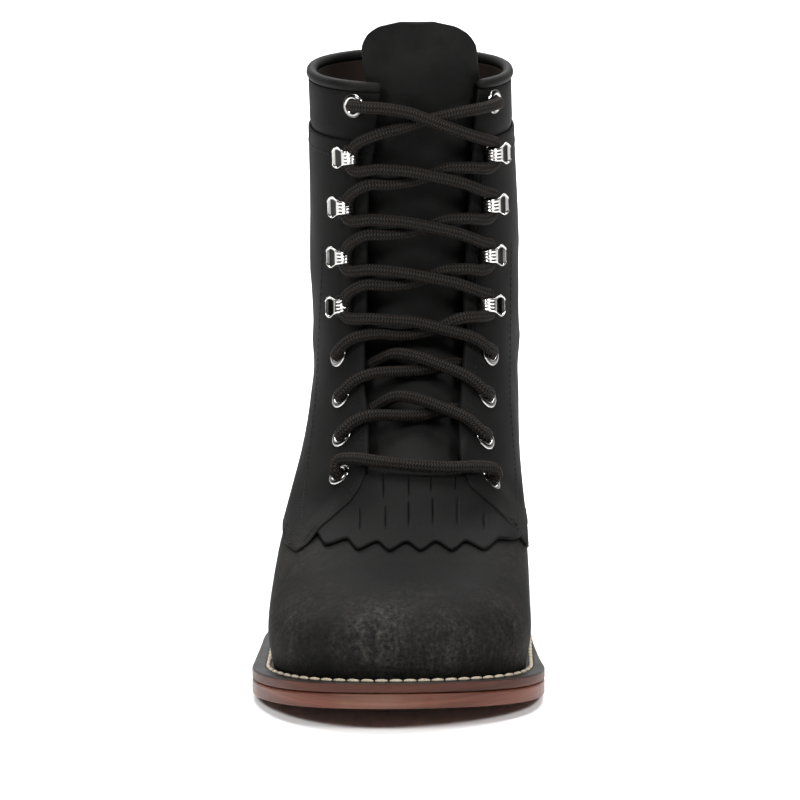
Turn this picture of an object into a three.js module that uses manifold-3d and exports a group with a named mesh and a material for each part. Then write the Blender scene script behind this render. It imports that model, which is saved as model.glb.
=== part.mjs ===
// A left lace-up roper boot, in millimetres, +Z up, toe towards -Y, wearer's inner side towards -X.
// The origin is the centre of the heel's resting face, on the floor.
import * as THREE from "three";
import { mergeVertices } from "three/addons/utils/BufferGeometryUtils.js";
import Module from "manifold-3d";

const wasm = await Module();
wasm.setup();

// Foot and shaft
const soleLength = 296;
const heelCentre = 260; // behind the toe tip
const footWidth = 99; // of the upper, across the ball
const shaftWidth = 82; // across the side walls, under the outer leather
const instepRise = 84; // from the heel seat to the ankle line
const collarHeight = 215;
const leather = 2.2; // vamp leather with its lining
const overlay = 1.3; // quarter leather lying over the vamp
const bandOverlay = 0.5; // collar band leather
const bandDepth = 20;
const bindingRadius = 2;

// Sole
const heelHeight = 22; // stack and top lift together
const liftThickness = 6;
const outsoleThickness = 5.8;
const weltThickness = 4;
const insoleThickness = 5;
const toeSpring = 9.5;
const heelLength = 74;
const heelTaper = 2.5;
const weltLedge = 1.5; // welt inside the upper's wall

// Tongue, kiltie and fittings
const tongueThickness = 3;
const tongueRise = 28; // above the collar
const kiltieThickness = 1.8;
const kiltieTuck = 8; // height inside the throat
const kiltieFall = 17.6; // height over the vamp
const kiltieLift = 1; // off the vamp
const toothDepth = 1.7;
const teeth = 7;
const fittingPitch = 20.3;
const topFittingDrop = 5.6;
const hookRows = 4;
const eyeletRowsBelow = 4;
const eyeletRadius = 5;
const eyeletBore = 2.5;
const eyeletBarrel = 3.1;
const hookGauge = 0.8;
const laceRadius = 2.35;

// Clearances
const gap = 0.3; // between two fitted pieces
const fittingGap = 0.65; // under eyelets and hooks, which sit on facets
const edgeClearance = 3; // kiltie to the quarters' edges

const black = 0x1d1c1b;
const leatherFinish = { color: black, roughness: 0.85, metalness: 0 };
const laceFinish = { color: 0x24211f, roughness: 0.9, metalness: 0 };
const nickel = { color: 0xc9c8c4, roughness: 0.2, metalness: 1 };
const soleFinish = { color: 0x6b3f2e, roughness: 0.5, metalness: 0 };
const weltFinish = { color: 0x2a201c, roughness: 0.6, metalness: 0 };
const rubberFinish = { color: 0x201f1e, roughness: 0.8, metalness: 0 };
const insoleFinish = { color: 0x8a6a4c, roughness: 0.8, metalness: 0 };

const lerp = THREE.MathUtils.lerp;
const clamp = THREE.MathUtils.clamp;
const rightAngle = Math.PI / 2;

function ease(share) {
  const s = clamp(share, 0, 1);
  return s * s * (3 - 2 * s);
}

// A smooth curve through evenly spaced values, at a place counted in steps
function smooth(values, at) {
  const last = values.length - 1;
  const place = clamp(at, 0, last);
  const i = Math.min(last - 1, Math.floor(place));
  const before = i > 0 ? (values[i + 1] - values[i - 1]) / 2 : values[1] - values[0];
  const after = i + 2 <= last ? (values[i + 2] - values[i]) / 2 : values[last] - values[last - 1];
  const f = place - i;
  const f2 = f * f;
  const f3 = f2 * f;
  return values[i] * (2 * f3 - 3 * f2 + 1) + before * (f3 - 2 * f2 + f)
    + values[i + 1] * (3 * f2 - 2 * f3) + after * (f3 - f2);
}

// A column of a table, read at a value of its key column, with straight stretches between rows
function read(table, key, column, at) {
  const rising = table[table.length - 1][key] > table[0][key];
  let i = 0;
  while (i < table.length - 2 && (rising ? table[i + 1][key] < at : table[i + 1][key] > at)) i += 1;
  const low = table[i];
  const high = table[i + 1];
  const share = clamp((at - low[key]) / (high[key] - low[key]), 0, 1);
  return lerp(low[column], high[column], share);
}

// Side view of the sole. Depth is measured behind the toe tip.
const treadStart = 0.3 * soleLength;
const treadEnd = 0.4 * soleLength;
const breast = soleLength - heelLength;

function underside(depth) {
  const lift = Math.max(0, 1 - depth / treadStart);
  return toeSpring * lift * lift + heelHeight * ease((depth - treadEnd) / (breast - treadEnd));
}
const outsoleTop = (depth) => underside(depth) + outsoleThickness;
const weltTop = (depth) => outsoleTop(depth) + gap + weltThickness;
const seat = (depth) => weltTop(depth) + gap;

// The last, as loops that climb from the welt to the collar.
// front and back: where the loop ends, as shares of the sole's length behind the toe tip.
// frontFoot and backFoot: shares of the rise to the ankle line.
// frontShaft and backShaft: shares of the rise above it.
// follow: how far the loop follows the sole's side view.
// shaft: 0 where widths are shares of footWidth, 1 where they are shares of shaftWidth.
// heel, waist and ball: half widths. arch: hollow of the inner waist.
// nose and tail: shares of the loop's length that its round ends take. square: squareness of the front end.
// shift: sideways lean, as a share of shaftWidth.
const sections = [
  { front: 0.031, frontFoot: 0, frontShaft: 0, back: 0.98, backFoot: 0, backShaft: 0, follow: 1,
    shaft: 0, heel: 0.333, waist: 0.333, ball: 0.485, arch: 0.06,
    nose: 0.15, square: 2, tail: 0.125, shift: 0 },
  { front: 0.024, frontFoot: 0.128, frontShaft: 0, back: 0.99, backFoot: 0.15, backShaft: 0, follow: 1,
    shaft: 0, heel: 0.358, waist: 0.369, ball: 0.503, arch: 0.05,
    nose: 0.15, square: 2, tail: 0.14, shift: 0 },
  { front: 0.04, frontFoot: 0.226, frontShaft: 0, back: 0.993, backFoot: 0.28, backShaft: 0, follow: 0.9,
    shaft: 0, heel: 0.364, waist: 0.394, ball: 0.501, arch: 0.03,
    nose: 0.19, square: 2.05, tail: 0.15, shift: 0 },
  { front: 0.085, frontFoot: 0.299, frontShaft: 0, back: 0.991, backFoot: 0.4, backShaft: 0, follow: 0.75,
    shaft: 0, heel: 0.364, waist: 0.424, ball: 0.491, arch: 0.01,
    nose: 0.31, square: 2.2, tail: 0.16, shift: 0.003 },
  { front: 0.152, frontFoot: 0.35, frontShaft: 0, back: 0.984, backFoot: 0.52, backShaft: 0, follow: 0.6,
    shaft: 0, heel: 0.359, waist: 0.424, ball: 0.473, arch: 0,
    nose: 0.42, square: 2.3, tail: 0.18, shift: 0.008 },
  { front: 0.253, frontFoot: 0.424, frontShaft: 0, back: 0.975, backFoot: 0.64, backShaft: 0, follow: 0.45,
    shaft: 0, heel: 0.359, waist: 0.414, ball: 0.45, arch: 0,
    nose: 0.48, square: 2.15, tail: 0.22, shift: 0.02 },
  { front: 0.328, frontFoot: 0.551, frontShaft: 0, back: 0.965, backFoot: 0.76, backShaft: 0, follow: 0.3,
    shaft: 0, heel: 0.364, waist: 0.411, ball: 0.434, arch: 0,
    nose: 0.52, square: 2.1, tail: 0.27, shift: 0.032 },
  { front: 0.399, frontFoot: 0.7, frontShaft: 0, back: 0.956, backFoot: 0.88, backShaft: 0, follow: 0.15,
    shaft: 0.5, heel: 0.41, waist: 0.453, ball: 0.464, arch: 0,
    nose: 0.55, square: 2.1, tail: 0.33, shift: 0.037 },
  { front: 0.466, frontFoot: 0.862, frontShaft: 0, back: 0.949, backFoot: 1, backShaft: 0, follow: 0,
    shaft: 1, heel: 0.47, waist: 0.504, ball: 0.51, arch: 0,
    nose: 0.55, square: 2.15, tail: 0.4, shift: 0.034 },
  { front: 0.507, frontFoot: 1, frontShaft: 0.01, back: 0.943, backFoot: 1, backShaft: 0.11, follow: 0,
    shaft: 1, heel: 0.484, waist: 0.51, ball: 0.512, arch: 0,
    nose: 0.52, square: 2.2, tail: 0.46, shift: 0.029 },
  { front: 0.53, frontFoot: 1, frontShaft: 0.2, back: 0.938, backFoot: 1, backShaft: 0.26, follow: 0,
    shaft: 1, heel: 0.496, waist: 0.512, ball: 0.512, arch: 0,
    nose: 0.49, square: 2.2, tail: 0.49, shift: 0.025 },
  { front: 0.54, frontFoot: 1, frontShaft: 0.44, back: 0.932, backFoot: 1, backShaft: 0.48, follow: 0,
    shaft: 1, heel: 0.502, waist: 0.507, ball: 0.507, arch: 0,
    nose: 0.49, square: 2.25, tail: 0.49, shift: 0.02 },
  { front: 0.544, frontFoot: 1, frontShaft: 0.72, back: 0.925, backFoot: 1, backShaft: 0.73, follow: 0,
    shaft: 1, heel: 0.5, waist: 0.5, ball: 0.5, arch: 0,
    nose: 0.49, square: 2.3, tail: 0.49, shift: 0.01 },
  { front: 0.544, frontFoot: 1, frontShaft: 1, back: 0.918, backFoot: 1, backShaft: 1, follow: 0,
    shaft: 1, heel: 0.5, waist: 0.5, ball: 0.5, arch: 0,
    nose: 0.49, square: 2.3, tail: 0.49, shift: 0 },
];
const columns = {};
for (const name of Object.keys(sections[0])) columns[name] = sections.map((row) => row[name]);

const tailEnd = 0.26; // share of a side's run that turns round the back
const noseStart = 0.55; // where the front's round begins
const tailPower = 2 / 2.2;
const toeSwing = -0.044 * footWidth; // the forefoot swings inwards, as on a left foot
const tipSwing = -0.12 * footWidth; // and the toe's tip once more
const tipLength = 0.12 * soleLength;
const ankleLine = seat(soleLength) + instepRise;

const sectionMemo = new Map();
function sectionAt(climb) {
  let section = sectionMemo.get(climb);
  if (section) return section;
  section = {};
  for (const name in columns) section[name] = smooth(columns[name], climb * (sections.length - 1));
  if (sectionMemo.size > 4000) sectionMemo.clear();
  sectionMemo.set(climb, section);
  return section;
}

function level(depth, foot, shaft) {
  return lerp(seat(depth), ankleLine, foot) + shaft * (collarHeight - ankleLine);
}

// A point of the last's skin. round runs from 0 at the front's middle to -1 or 1 at the back's middle,
// negative on the inner side. climb runs from 0 at the welt to 1 at the collar.
function skin(round, climb) {
  const s = sectionAt(climb);
  const run = 1 - Math.abs(round);
  let along;
  let spread = 1;
  if (run < tailEnd) {
    const angle = (run / tailEnd) * rightAngle;
    along = s.tail * (1 - Math.max(0, Math.cos(angle)) ** tailPower);
    spread = Math.sin(angle) ** tailPower;
  } else if (run > noseStart) {
    const angle = ((1 - run) / (1 - noseStart)) * rightAngle;
    along = 1 - s.nose * (1 - Math.max(0, Math.cos(angle)) ** (2 / s.square));
    spread = Math.sin(angle) ** (2 / s.square);
  } else {
    along = lerp(s.tail, 1 - s.nose, (run - tailEnd) / (noseStart - tailEnd));
  }
  const front = s.front * soleLength;
  const back = s.back * soleLength;
  const depth = lerp(back, front, along);
  const width = lerp(footWidth, shaftWidth, s.shaft);
  let half = along < 0.4
    ? lerp(s.heel, s.waist, ease((along - 0.08) / 0.32))
    : lerp(s.waist, s.ball, ease((along - 0.4) / 0.3));
  if (round < 0) half -= s.arch * Math.exp(-(((along - 0.38) / 0.13) ** 2));
  const flat = lerp(level(back, s.backFoot, s.backShaft), level(front, s.frontFoot, s.frontShaft), along);
  const bow = seat(depth) - lerp(seat(back), seat(front), along);
  const tip = tipSwing * Math.max(0, 1 - depth / tipLength) ** 2 * ease(1 - (climb - 0.1) / 0.4);
  const swing = toeSwing * (1 - ease((depth / soleLength - 0.06) / 0.8)) * ease(1 - (climb - 0.45) / 0.3);
  return new THREE.Vector3(
    swing + tip + s.shift * shaftWidth + Math.sign(round) * half * width * spread,
    depth - heelCentre,
    flat + s.follow * bow,
  );
}

const wrap = (round) => (round > 1 ? round - 2 : round < -1 ? round + 2 : round);

// The skin's outward normal
function outward(round, climb) {
  const step = 0.004;
  const low = Math.max(0, climb - step);
  const high = Math.min(1, climb + step);
  const across = skin(wrap(round + step), climb).sub(skin(wrap(round - step), climb));
  const up = skin(round, high).sub(skin(round, low));
  return across.cross(up).normalize();
}

const offset = (round, climb, out) => skin(round, climb).addScaledVector(outward(round, climb), out);

function bisect(low, high, over) {
  let a = low;
  let b = high;
  for (let i = 0; i < 20; i += 1) {
    const middle = (a + b) / 2;
    if (over(middle)) b = middle;
    else a = middle;
  }
  return (a + b) / 2;
}

// Where a given height and a given distance from the middle plane meet on the boot's front
function frontPlace(x, z) {
  const climbAt = (round) => bisect(0.12, 1, (climb) => skin(round, climb).z > z);
  const round = bisect(-0.44, 0.44, (r) => skin(r, climbAt(r)).x > x);
  return { round, climb: climbAt(round) };
}
const frontRound = (x, climb) => bisect(-0.44, 0.44, (round) => skin(round, climb).x > x);

// The quarters' front edges. height: share of collarHeight.
// inner and outer: distance from the middle plane, as shares of shaftWidth.
// The facings run straight down to the throat, then sweep out to the quarters' low corners.
const facingEdges = [
  { height: 1.03, inner: -0.137, outer: 0.34 },
  { height: 0.9, inner: -0.173, outer: 0.305 },
  { height: 0.815, inner: -0.2, outer: 0.292 },
  { height: 0.71, inner: -0.207, outer: 0.273 },
  { height: 0.62, inner: -0.207, outer: 0.262 },
  { height: 0.53, inner: -0.22, outer: 0.265 },
  { height: 0.465, inner: -0.22, outer: 0.248 },
  { height: 0.42, inner: -0.2, outer: 0.238 },
  { height: 0.36, inner: -0.197, outer: 0.23 },
  { height: 0.337, inner: -0.201, outer: 0.24 },
  { height: 0.314, inner: -0.229, outer: 0.268 },
  { height: 0.292, inner: -0.275, outer: 0.33 },
  { height: 0.264, inner: -0.365, outer: 0.412 },
  { height: 0.243, inner: -0.455, outer: 0.478 },
  { height: 0.222, inner: -0.545, outer: 0.53 },
  { height: 0.205, inner: -0.6, outer: 0.558 },
];
const edgeX = (side, z) =>
  shaftWidth * read(facingEdges, "height", side < 0 ? "inner" : "outer", z / collarHeight);
const throatBottom = 0.33 * collarHeight;
const kiltieTop = throatBottom + kiltieTuck;
const kiltieFoot = throatBottom - kiltieFall;

// The quarters' lower edge, from those corners to the back.
// depth: share of soleLength. inner and outer: heights, as shares of collarHeight.
const lowerEdge = [
  { depth: -0.1, inner: 0.225, outer: 0.208 },
  { depth: 0.27, inner: 0.225, outer: 0.208 },
  { depth: 0.33, inner: 0.222, outer: 0.209 },
  { depth: 0.39, inner: 0.228, outer: 0.226 },
  { depth: 0.6, inner: 0.236, outer: 0.236 },
  { depth: 0.8, inner: 0.26, outer: 0.26 },
  { depth: 1.1, inner: 0.3, outer: 0.3 },
];

// Solids from grids of points: a face on each side, and walls round the open borders
function slab(top, bottom, closed) {
  const positions = [];
  const triangle = (a, b, c) => {
    const doubled = a.distanceTo(b) < 1e-3 || b.distanceTo(c) < 1e-3 || c.distanceTo(a) < 1e-3;
    if (!doubled) for (const p of [a, b, c]) positions.push(p.x, p.y, p.z);
  };
  const quad = (a, b, c, d) => {
    triangle(a, b, c);
    triangle(a, c, d);
  };
  const rowCount = top.length;
  const perRow = top[0].length;
  const next = (j) => (j + 1) % perRow;
  const last = closed ? perRow : perRow - 1;
  for (let i = 0; i < rowCount - 1; i += 1) {
    for (let j = 0; j < last; j += 1) {
      quad(top[i][j], top[i][next(j)], top[i + 1][next(j)], top[i + 1][j]);
      quad(bottom[i][j], bottom[i + 1][j], bottom[i + 1][next(j)], bottom[i][next(j)]);
    }
    if (!closed) {
      quad(top[i][0], top[i + 1][0], bottom[i + 1][0], bottom[i][0]);
      quad(top[i][perRow - 1], bottom[i][perRow - 1], bottom[i + 1][perRow - 1], top[i + 1][perRow - 1]);
    }
  }
  const end = rowCount - 1;
  for (let j = 0; j < last; j += 1) {
    quad(top[0][j], bottom[0][j], bottom[0][next(j)], top[0][next(j)]);
    quad(top[end][j], top[end][next(j)], bottom[end][next(j)], bottom[end][j]);
  }
  const geometry = new THREE.BufferGeometry();
  geometry.setAttribute("position", new THREE.Float32BufferAttribute(positions, 3));
  return geometry;
}

function solid(geometry) {
  const bare = geometry.clone();
  bare.deleteAttribute("normal");
  bare.deleteAttribute("uv");
  const merged = mergeVertices(bare, 1e-4);
  const mesh = new wasm.Mesh({
    numProp: 3,
    vertProperties: merged.attributes.position.array,
    triVerts: new Uint32Array(merged.index.array),
  });
  return new wasm.Manifold(mesh);
}

// The short edges that a cut leaves are merged, so that no sliver is narrower than this
const sliver = 0.02;
function geometryOf(manifold) {
  const mesh = manifold.simplify(sliver).getMesh();
  const geometry = new THREE.BufferGeometry();
  geometry.setAttribute("position", new THREE.BufferAttribute(mesh.vertProperties, 3));
  geometry.setIndex(new THREE.BufferAttribute(mesh.triVerts, 1));
  return geometry;
}

const boot = new THREE.Group();
function add(name, geometry, finish) {
  const shown = geometry.index ? geometry.toNonIndexed() : geometry;
  shown.computeVertexNormals();
  const mesh = new THREE.Mesh(shown, new THREE.MeshStandardMaterial(finish));
  mesh.name = name;
  boot.add(mesh);
  return mesh;
}

const even = (count, from = 0, to = 1) =>
  Array.from({ length: count + 1 }, (_, i) => lerp(from, to, i / count));

// Stations along one side, from the back's middle to the front's, with one at the heel's breast
const foot = sections[0];
const breastAlong = (foot.back - breast / soleLength) / (foot.back - foot.front);
const breastShare = (breastAlong - foot.tail) / (1 - foot.nose - foot.tail);
const breastRun = lerp(tailEnd, noseStart, breastShare);
const heelRuns = [...even(5, 0, tailEnd), breastRun];
const sideRuns = [
  ...heelRuns,
  ...even(9, breastRun, noseStart).slice(1),
  ...even(12, noseStart, 1).slice(1),
];

// Sole pieces. welt: how far the sole stands out from the upper, as shares of footWidth.
const weltReach = [
  { along: 0, inner: 0.045, outer: 0.045 },
  { along: 0.4, inner: 0.04, outer: 0.035 },
  { along: 0.7, inner: 0.062, outer: 0.03 },
  { along: 0.8, inner: 0.075, outer: 0.055 },
  { along: 0.895, inner: 0.085, outer: 0.083 },
  { along: 1, inner: 0.092, outer: 0.092 },
];

function planPoint(round, out) {
  const step = 0.003;
  const here = skin(round, 0);
  const after = skin(wrap(round + step), 0);
  const before = skin(wrap(round - step), 0);
  const sideways = new THREE.Vector2(after.y - before.y, before.x - after.x).normalize();
  return new THREE.Vector2(here.x + sideways.x * out, here.y + sideways.y * out);
}

function reachAt(round) {
  const depth = skin(round, 0).y + heelCentre;
  const along = (foot.back - depth / soleLength) / (foot.back - foot.front);
  const inner = read(weltReach, "along", "inner", along);
  const outer = read(weltReach, "along", "outer", along);
  const middle = ease(clamp((Math.abs(round) - 0.9) / 0.1, 0, 1));
  const own = round < 0 ? inner : outer;
  return footWidth * lerp(own, (inner + outer) / 2, middle);
}

function raised(plan, heightAt) {
  return new THREE.Vector3(plan.x, plan.y, heightAt(plan.y + heelCentre));
}

// A plate across the sole, between its two sides, for the runs given
function plate(runs, across, reachOf, topAt, bottomAt, bottomReachOf = reachOf) {
  const grid = (outOf, heightAt) => runs.map((run) => {
    const round = 1 - run;
    const inner = planPoint(-round, outOf(-round));
    const outer = planPoint(round, outOf(round));
    return even(across).map((share) => raised(outer.clone().lerp(inner, share), heightAt));
  });
  return slab(grid(reachOf, topAt), grid(bottomReachOf, bottomAt), false);
}

const around = [
  ...sideRuns.map((run) => -(1 - run)),
  ...sideRuns.slice(1, -1).reverse().map((run) => 1 - run),
];

add("outsole", plate(sideRuns, 2, reachAt, outsoleTop, underside), soleFinish);

const stackReach = (round) => reachAt(round) - gap;
const liftReach = (round) => stackReach(round) - heelTaper;
const stackFoot = () => liftThickness;
const stackTop = () => heelHeight - gap;
const ground = () => 0;
add("heel_stack", plate(heelRuns, 2, stackReach, stackTop, stackFoot, liftReach), soleFinish);
add("heel_top_lift", plate(heelRuns, 2, liftReach, stackFoot, ground), rubberFinish);

function weltRing() {
  const inner = -leather - weltLedge;
  const ring = (heightAt) => [
    around.map((round) => raised(planPoint(round, reachAt(round)), heightAt)),
    around.map((round) => raised(planPoint(round, inner), heightAt)),
  ];
  const weltFoot = (depth) => outsoleTop(depth) + gap;
  return slab(ring(weltTop), ring(weltFoot), true);
}
add("welt", weltRing(), weltFinish);

const insoleEdge = -leather - weltLedge - gap;
const insoleFoot = (depth) => outsoleTop(depth) + gap;
const insoleTop = (depth) => insoleFoot(depth) + insoleThickness;
add("insole", plate(sideRuns, 2, () => insoleEdge, insoleTop, insoleFoot), insoleFinish);

// Upper: one hollow wall at the quarters' thickness, cut down to the vamp's skin in front of and under their
// edges, and cut open at the throat
const climbOfHeight = (round, z) => bisect(0.3, 1, (climb) => skin(round, climb).z > z);
const ankleClimb = 0.62;
const bandClimb = climbOfHeight(0, collarHeight - bandDepth);
const footClimbs = even(12, 0, ankleClimb);
const shaftClimbs = even(4, ankleClimb, bandClimb).slice(1);

// A wall between two offsets of the skin, with its foot sunk below the welt where it is only a cutter
function wall(rows, innerOut, sunk) {
  const grid = (outOf) => rows.map(([climb, out]) => around.map((round) => {
    const point = offset(round, climb, outOf(out));
    if (climb === 0) point.z = seat(point.y + heelCentre) - sunk;
    if (climb === 1) point.z = collarHeight;
    return point;
  }));
  return solid(slab(grid((out) => out), grid(() => innerOut), true));
}

// A prism along y, drawn in x and z, between two depths behind the toe tip
function frontPrism(corners, fromDepth, toDepth) {
  const outline = new THREE.Shape(corners.map(([x, z]) => new THREE.Vector2(x, z)));
  const prism = new THREE.ExtrudeGeometry(outline, { depth: toDepth - fromDepth, bevelEnabled: false });
  return solid(prism.rotateX(rightAngle).translate(0, toDepth - heelCentre, 0));
}

// Everything between the two front edges, from one height up to another
function betweenEdges(low, high, fromDepth, toDepth) {
  const heights = [low, ...facingEdges.map((row) => row.height * collarHeight).reverse(), high]
    .filter((z) => z >= low && z <= high);
  const left = heights.map((z) => [edgeX(-1, z), z]);
  const right = heights.map((z) => [edgeX(1, z), z]).reverse();
  return frontPrism([...left, ...right], fromDepth, toDepth);
}

// Everything under the quarters' lower edge, on one side
function underEdge(side) {
  const corners = lowerEdge.map((row) => {
    const height = side < 0 ? row.inner : row.outer;
    return new THREE.Vector2(row.depth * soleLength - heelCentre, height * collarHeight);
  });
  const first = corners[0];
  const last = corners[corners.length - 1];
  const below = [new THREE.Vector2(last.x, -1), new THREE.Vector2(first.x, -1)];
  const outline = new THREE.Shape([...corners, ...below]);
  const prism = new THREE.ExtrudeGeometry(outline, { depth: footWidth, bevelEnabled: false });
  prism.applyMatrix4(new THREE.Matrix4().makeBasis(
    new THREE.Vector3(0, 1, 0),
    new THREE.Vector3(0, 0, 1),
    new THREE.Vector3(1, 0, 0),
  ));
  return solid(prism.translate(side < 0 ? -footWidth : 0, 0, 0));
}

const beforeToe = -0.1 * soleLength;
const sweepEnd = 0.4 * soleLength; // behind the quarters' low corners
const shaftMiddle = 0.7 * soleLength;

function upperSolid() {
  const rows = [
    ...[...footClimbs, ...shaftClimbs].map((climb) => [climb, overlay]),
    [bandClimb, bandOverlay],
    [1, bandOverlay],
  ];
  const whole = wall(rows, -leather, 0);
  const overVamp = wall(footClimbs.map((climb) => [climb, 4 * overlay]), 0, 2);
  const lowestEdge = facingEdges[facingEdges.length - 1].height * collarHeight;
  const vampPlan = underEdge(-1)
    .add(underEdge(1))
    .add(betweenEdges(lowestEdge, throatBottom + 1, beforeToe, sweepEnd));
  const throat = betweenEdges(throatBottom, collarHeight + 4, beforeToe, shaftMiddle);
  return whole.subtract(overVamp.intersect(vampPlan)).subtract(throat);
}

// How far the fittings stand from the facing's edge, round the leather. height: share of collarHeight.
const fittingInsets = [
  { height: 1, inset: 10.6 },
  { height: 0.6, inset: 11.8 },
  { height: 0.5, inset: 15.2 },
  { height: 0.38, inset: 16.6 },
  { height: 0.3, inset: 14 },
];

const hookNearer = 3.1; // how much nearer that edge a hook's middle stands
const isHook = (row) => row >= 1 && row <= hookRows;

// Fittings: places down each facing, a pitch apart
function insetPlace(side, z, nearer = 0) {
  const inset = read(fittingInsets, "height", "inset", z / collarHeight) - nearer;
  const { climb } = frontPlace(edgeX(side, z), z);
  const step = 0.002;
  let { round } = frontPlace(edgeX(side, z), z);
  let here = skin(round, climb);
  for (let walked = 0; walked < inset;) {
    round += side * step;
    const next = skin(round, climb);
    walked += next.distanceTo(here);
    here = next;
  }
  return { round, climb, point: here };
}

function fittingPlaces(side) {
  const step = 0.25;
  const count = 1 + hookRows + eyeletRowsBelow;
  let z = collarHeight - topFittingDrop;
  let here = insetPlace(side, z);
  const places = [here];
  for (let walked = 0; places.length < count;) {
    z -= step;
    const next = insetPlace(side, z);
    walked += next.point.distanceTo(here.point);
    here = next;
    if (walked >= fittingPitch) {
      places.push(isHook(places.length) ? insetPlace(side, z, hookNearer) : here);
      walked = 0;
    }
  }
  return places;
}
const fittings = { inner: fittingPlaces(-1), outer: fittingPlaces(1) };
const thicknessAt = (row) => (row === 0 ? bandOverlay : overlay);

// A frame on the leather: x away from the throat, y up the facing, z out of the leather
function fittingFrame(side, place, out) {
  const normal = outward(place.round, place.climb);
  const step = 0.01;
  const up = skin(place.round, place.climb + step / 2).sub(skin(place.round, place.climb - step / 2));
  const away = up.cross(normal).normalize().multiplyScalar(side);
  const along = normal.clone().cross(away);
  const matrix = new THREE.Matrix4().makeBasis(away, along, normal);
  const origin = place.point.clone().addScaledVector(normal, out);
  return matrix.setPosition(origin);
}

const eyeletSides = 12;
const domeRise = 1;
const sagitta = (radius) => (radius * radius) / shaftWidth;
function eyeletGeometry() {
  const barrelFoot = -leather - overlay;
  const profile = [
    [eyeletBore, barrelFoot],
    [eyeletBarrel, barrelFoot],
    [eyeletBarrel, 0],
    [eyeletRadius, 0],
    [0.7 * eyeletRadius, domeRise],
    [eyeletBore, 0.5 * domeRise],
    [eyeletBore, barrelFoot],
  ];
  const points = profile.map(([r, z]) => new THREE.Vector2(r, z));
  return new THREE.LatheGeometry(points, eyeletSides).rotateX(rightAngle);
}

// A hook is one bent strip. away: from the neck out to the wing. rise: off the leather. half: its half width.
const hookStrip = [
  { away: 4.6, rise: 0.4, half: 2.6 },
  { away: 3.2, rise: 0.4, half: 3.3 },
  { away: -1.4, rise: 0.4, half: 3.2 },
  { away: -2.8, rise: 1.2, half: 3 },
  { away: -3.2, rise: 2.9, half: 3 },
  { away: -2.7, rise: 4.7, half: 3.1 },
  { away: -1, rise: 5.7, half: 3.7 },
  { away: 1.6, rise: 5.8, half: 4.6 },
  { away: 4.2, rise: 5.6, half: 4.5 },
  { away: 6, rise: 5.7, half: 3.2 },
  { away: 6.9, rise: 6, half: 1.4 },
];
function hookGeometry() {
  const face = (out) => hookStrip.map((row, i) => {
    const before = hookStrip[Math.max(0, i - 1)];
    const after = hookStrip[Math.min(hookStrip.length - 1, i + 1)];
    const run = new THREE.Vector2(after.away - before.away, after.rise - before.rise).normalize();
    const x = row.away + run.y * out;
    const z = row.rise - run.x * out;
    return [new THREE.Vector3(x, -row.half, z), new THREE.Vector3(x, row.half, z)];
  });
  return slab(face(hookGauge / 2), face(-hookGauge / 2), false);
}

let upper = upperSolid();
const boreGeometry = new THREE.CylinderGeometry(eyeletBarrel + gap, eyeletBarrel + gap, 12, eyeletSides);
boreGeometry.rotateX(rightAngle);

const placed = (geometry, matrix) => geometry.clone().applyMatrix4(matrix);

for (const [word, side] of [["inner", -1], ["outer", 1]]) {
  fittings[word].forEach((place, row) => {
    if (isHook(row)) {
      const seatOut = thicknessAt(row) + fittingGap + sagitta(hookStrip[0].away);
      add(`hook_${word}_${row}`, placed(hookGeometry(), fittingFrame(side, place, seatOut)), nickel);
      return;
    }
    const seatOut = thicknessAt(row) + fittingGap + sagitta(eyeletRadius);
    add(`eyelet_${word}_${row}`, placed(eyeletGeometry(), fittingFrame(side, place, seatOut)), nickel);
    upper = upper.subtract(solid(placed(boreGeometry, fittingFrame(side, place, 0))));
  });
}
add("upper", geometryOf(upper), leatherFinish);

// Collar binding, from one facing round the back to the other
function bindingGeometry() {
  const climb = 1;
  const reach = (side) => Math.abs(frontRound(edgeX(side, collarHeight), climb)) + 0.004;
  const from = -reach(-1);
  const to = reach(1);
  const middle = (bandOverlay - leather) / 2;
  const points = even(30, 0, 1).map((share) => {
    const round = wrap(from - share * (2 - to + from));
    const p = offset(round, climb, middle);
    p.z = collarHeight + gap + bindingRadius;
    return p;
  });
  const path = new THREE.CatmullRomCurve3(points);
  return tube(path, bindingRadius, 32);
}

function tube(path, radius, steps) {
  const sides = 8;
  const shape = new THREE.Shape(
    even(sides - 1, 0, (sides - 1) / sides).map((turn) => {
      const angle = turn * 2 * Math.PI;
      return new THREE.Vector2(radius * Math.cos(angle), radius * Math.sin(angle));
    }),
  );
  return new THREE.ExtrudeGeometry(shape, { steps, bevelEnabled: false, extrudePath: path });
}
add("collar_binding", bindingGeometry(), leatherFinish);

// Tongue below the collar. height: share of collarHeight. sink: how far its face lies under the skin.
// half: half width, as a share of shaftWidth.
const underVamp = leather + gap;
const tongueRows = [
  { height: 0.3, sink: underVamp, half: 0.18 },
  { height: 0.325, sink: underVamp, half: 0.21 },
  { height: 0.345, sink: underVamp + 1.7, half: 0.24 },
  { height: 0.37, sink: underVamp + 5.1, half: 0.28 },
  { height: 0.42, sink: underVamp + 5.3, half: 0.32 },
  { height: 0.56, sink: underVamp + 5.3, half: 0.34 },
  { height: 0.64, sink: underVamp + 2.3, half: 0.35 },
  { height: 0.92, sink: underVamp + 2.3, half: 0.35 },
  { height: 1, sink: underVamp + 2.3, half: 0.32 },
];
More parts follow.
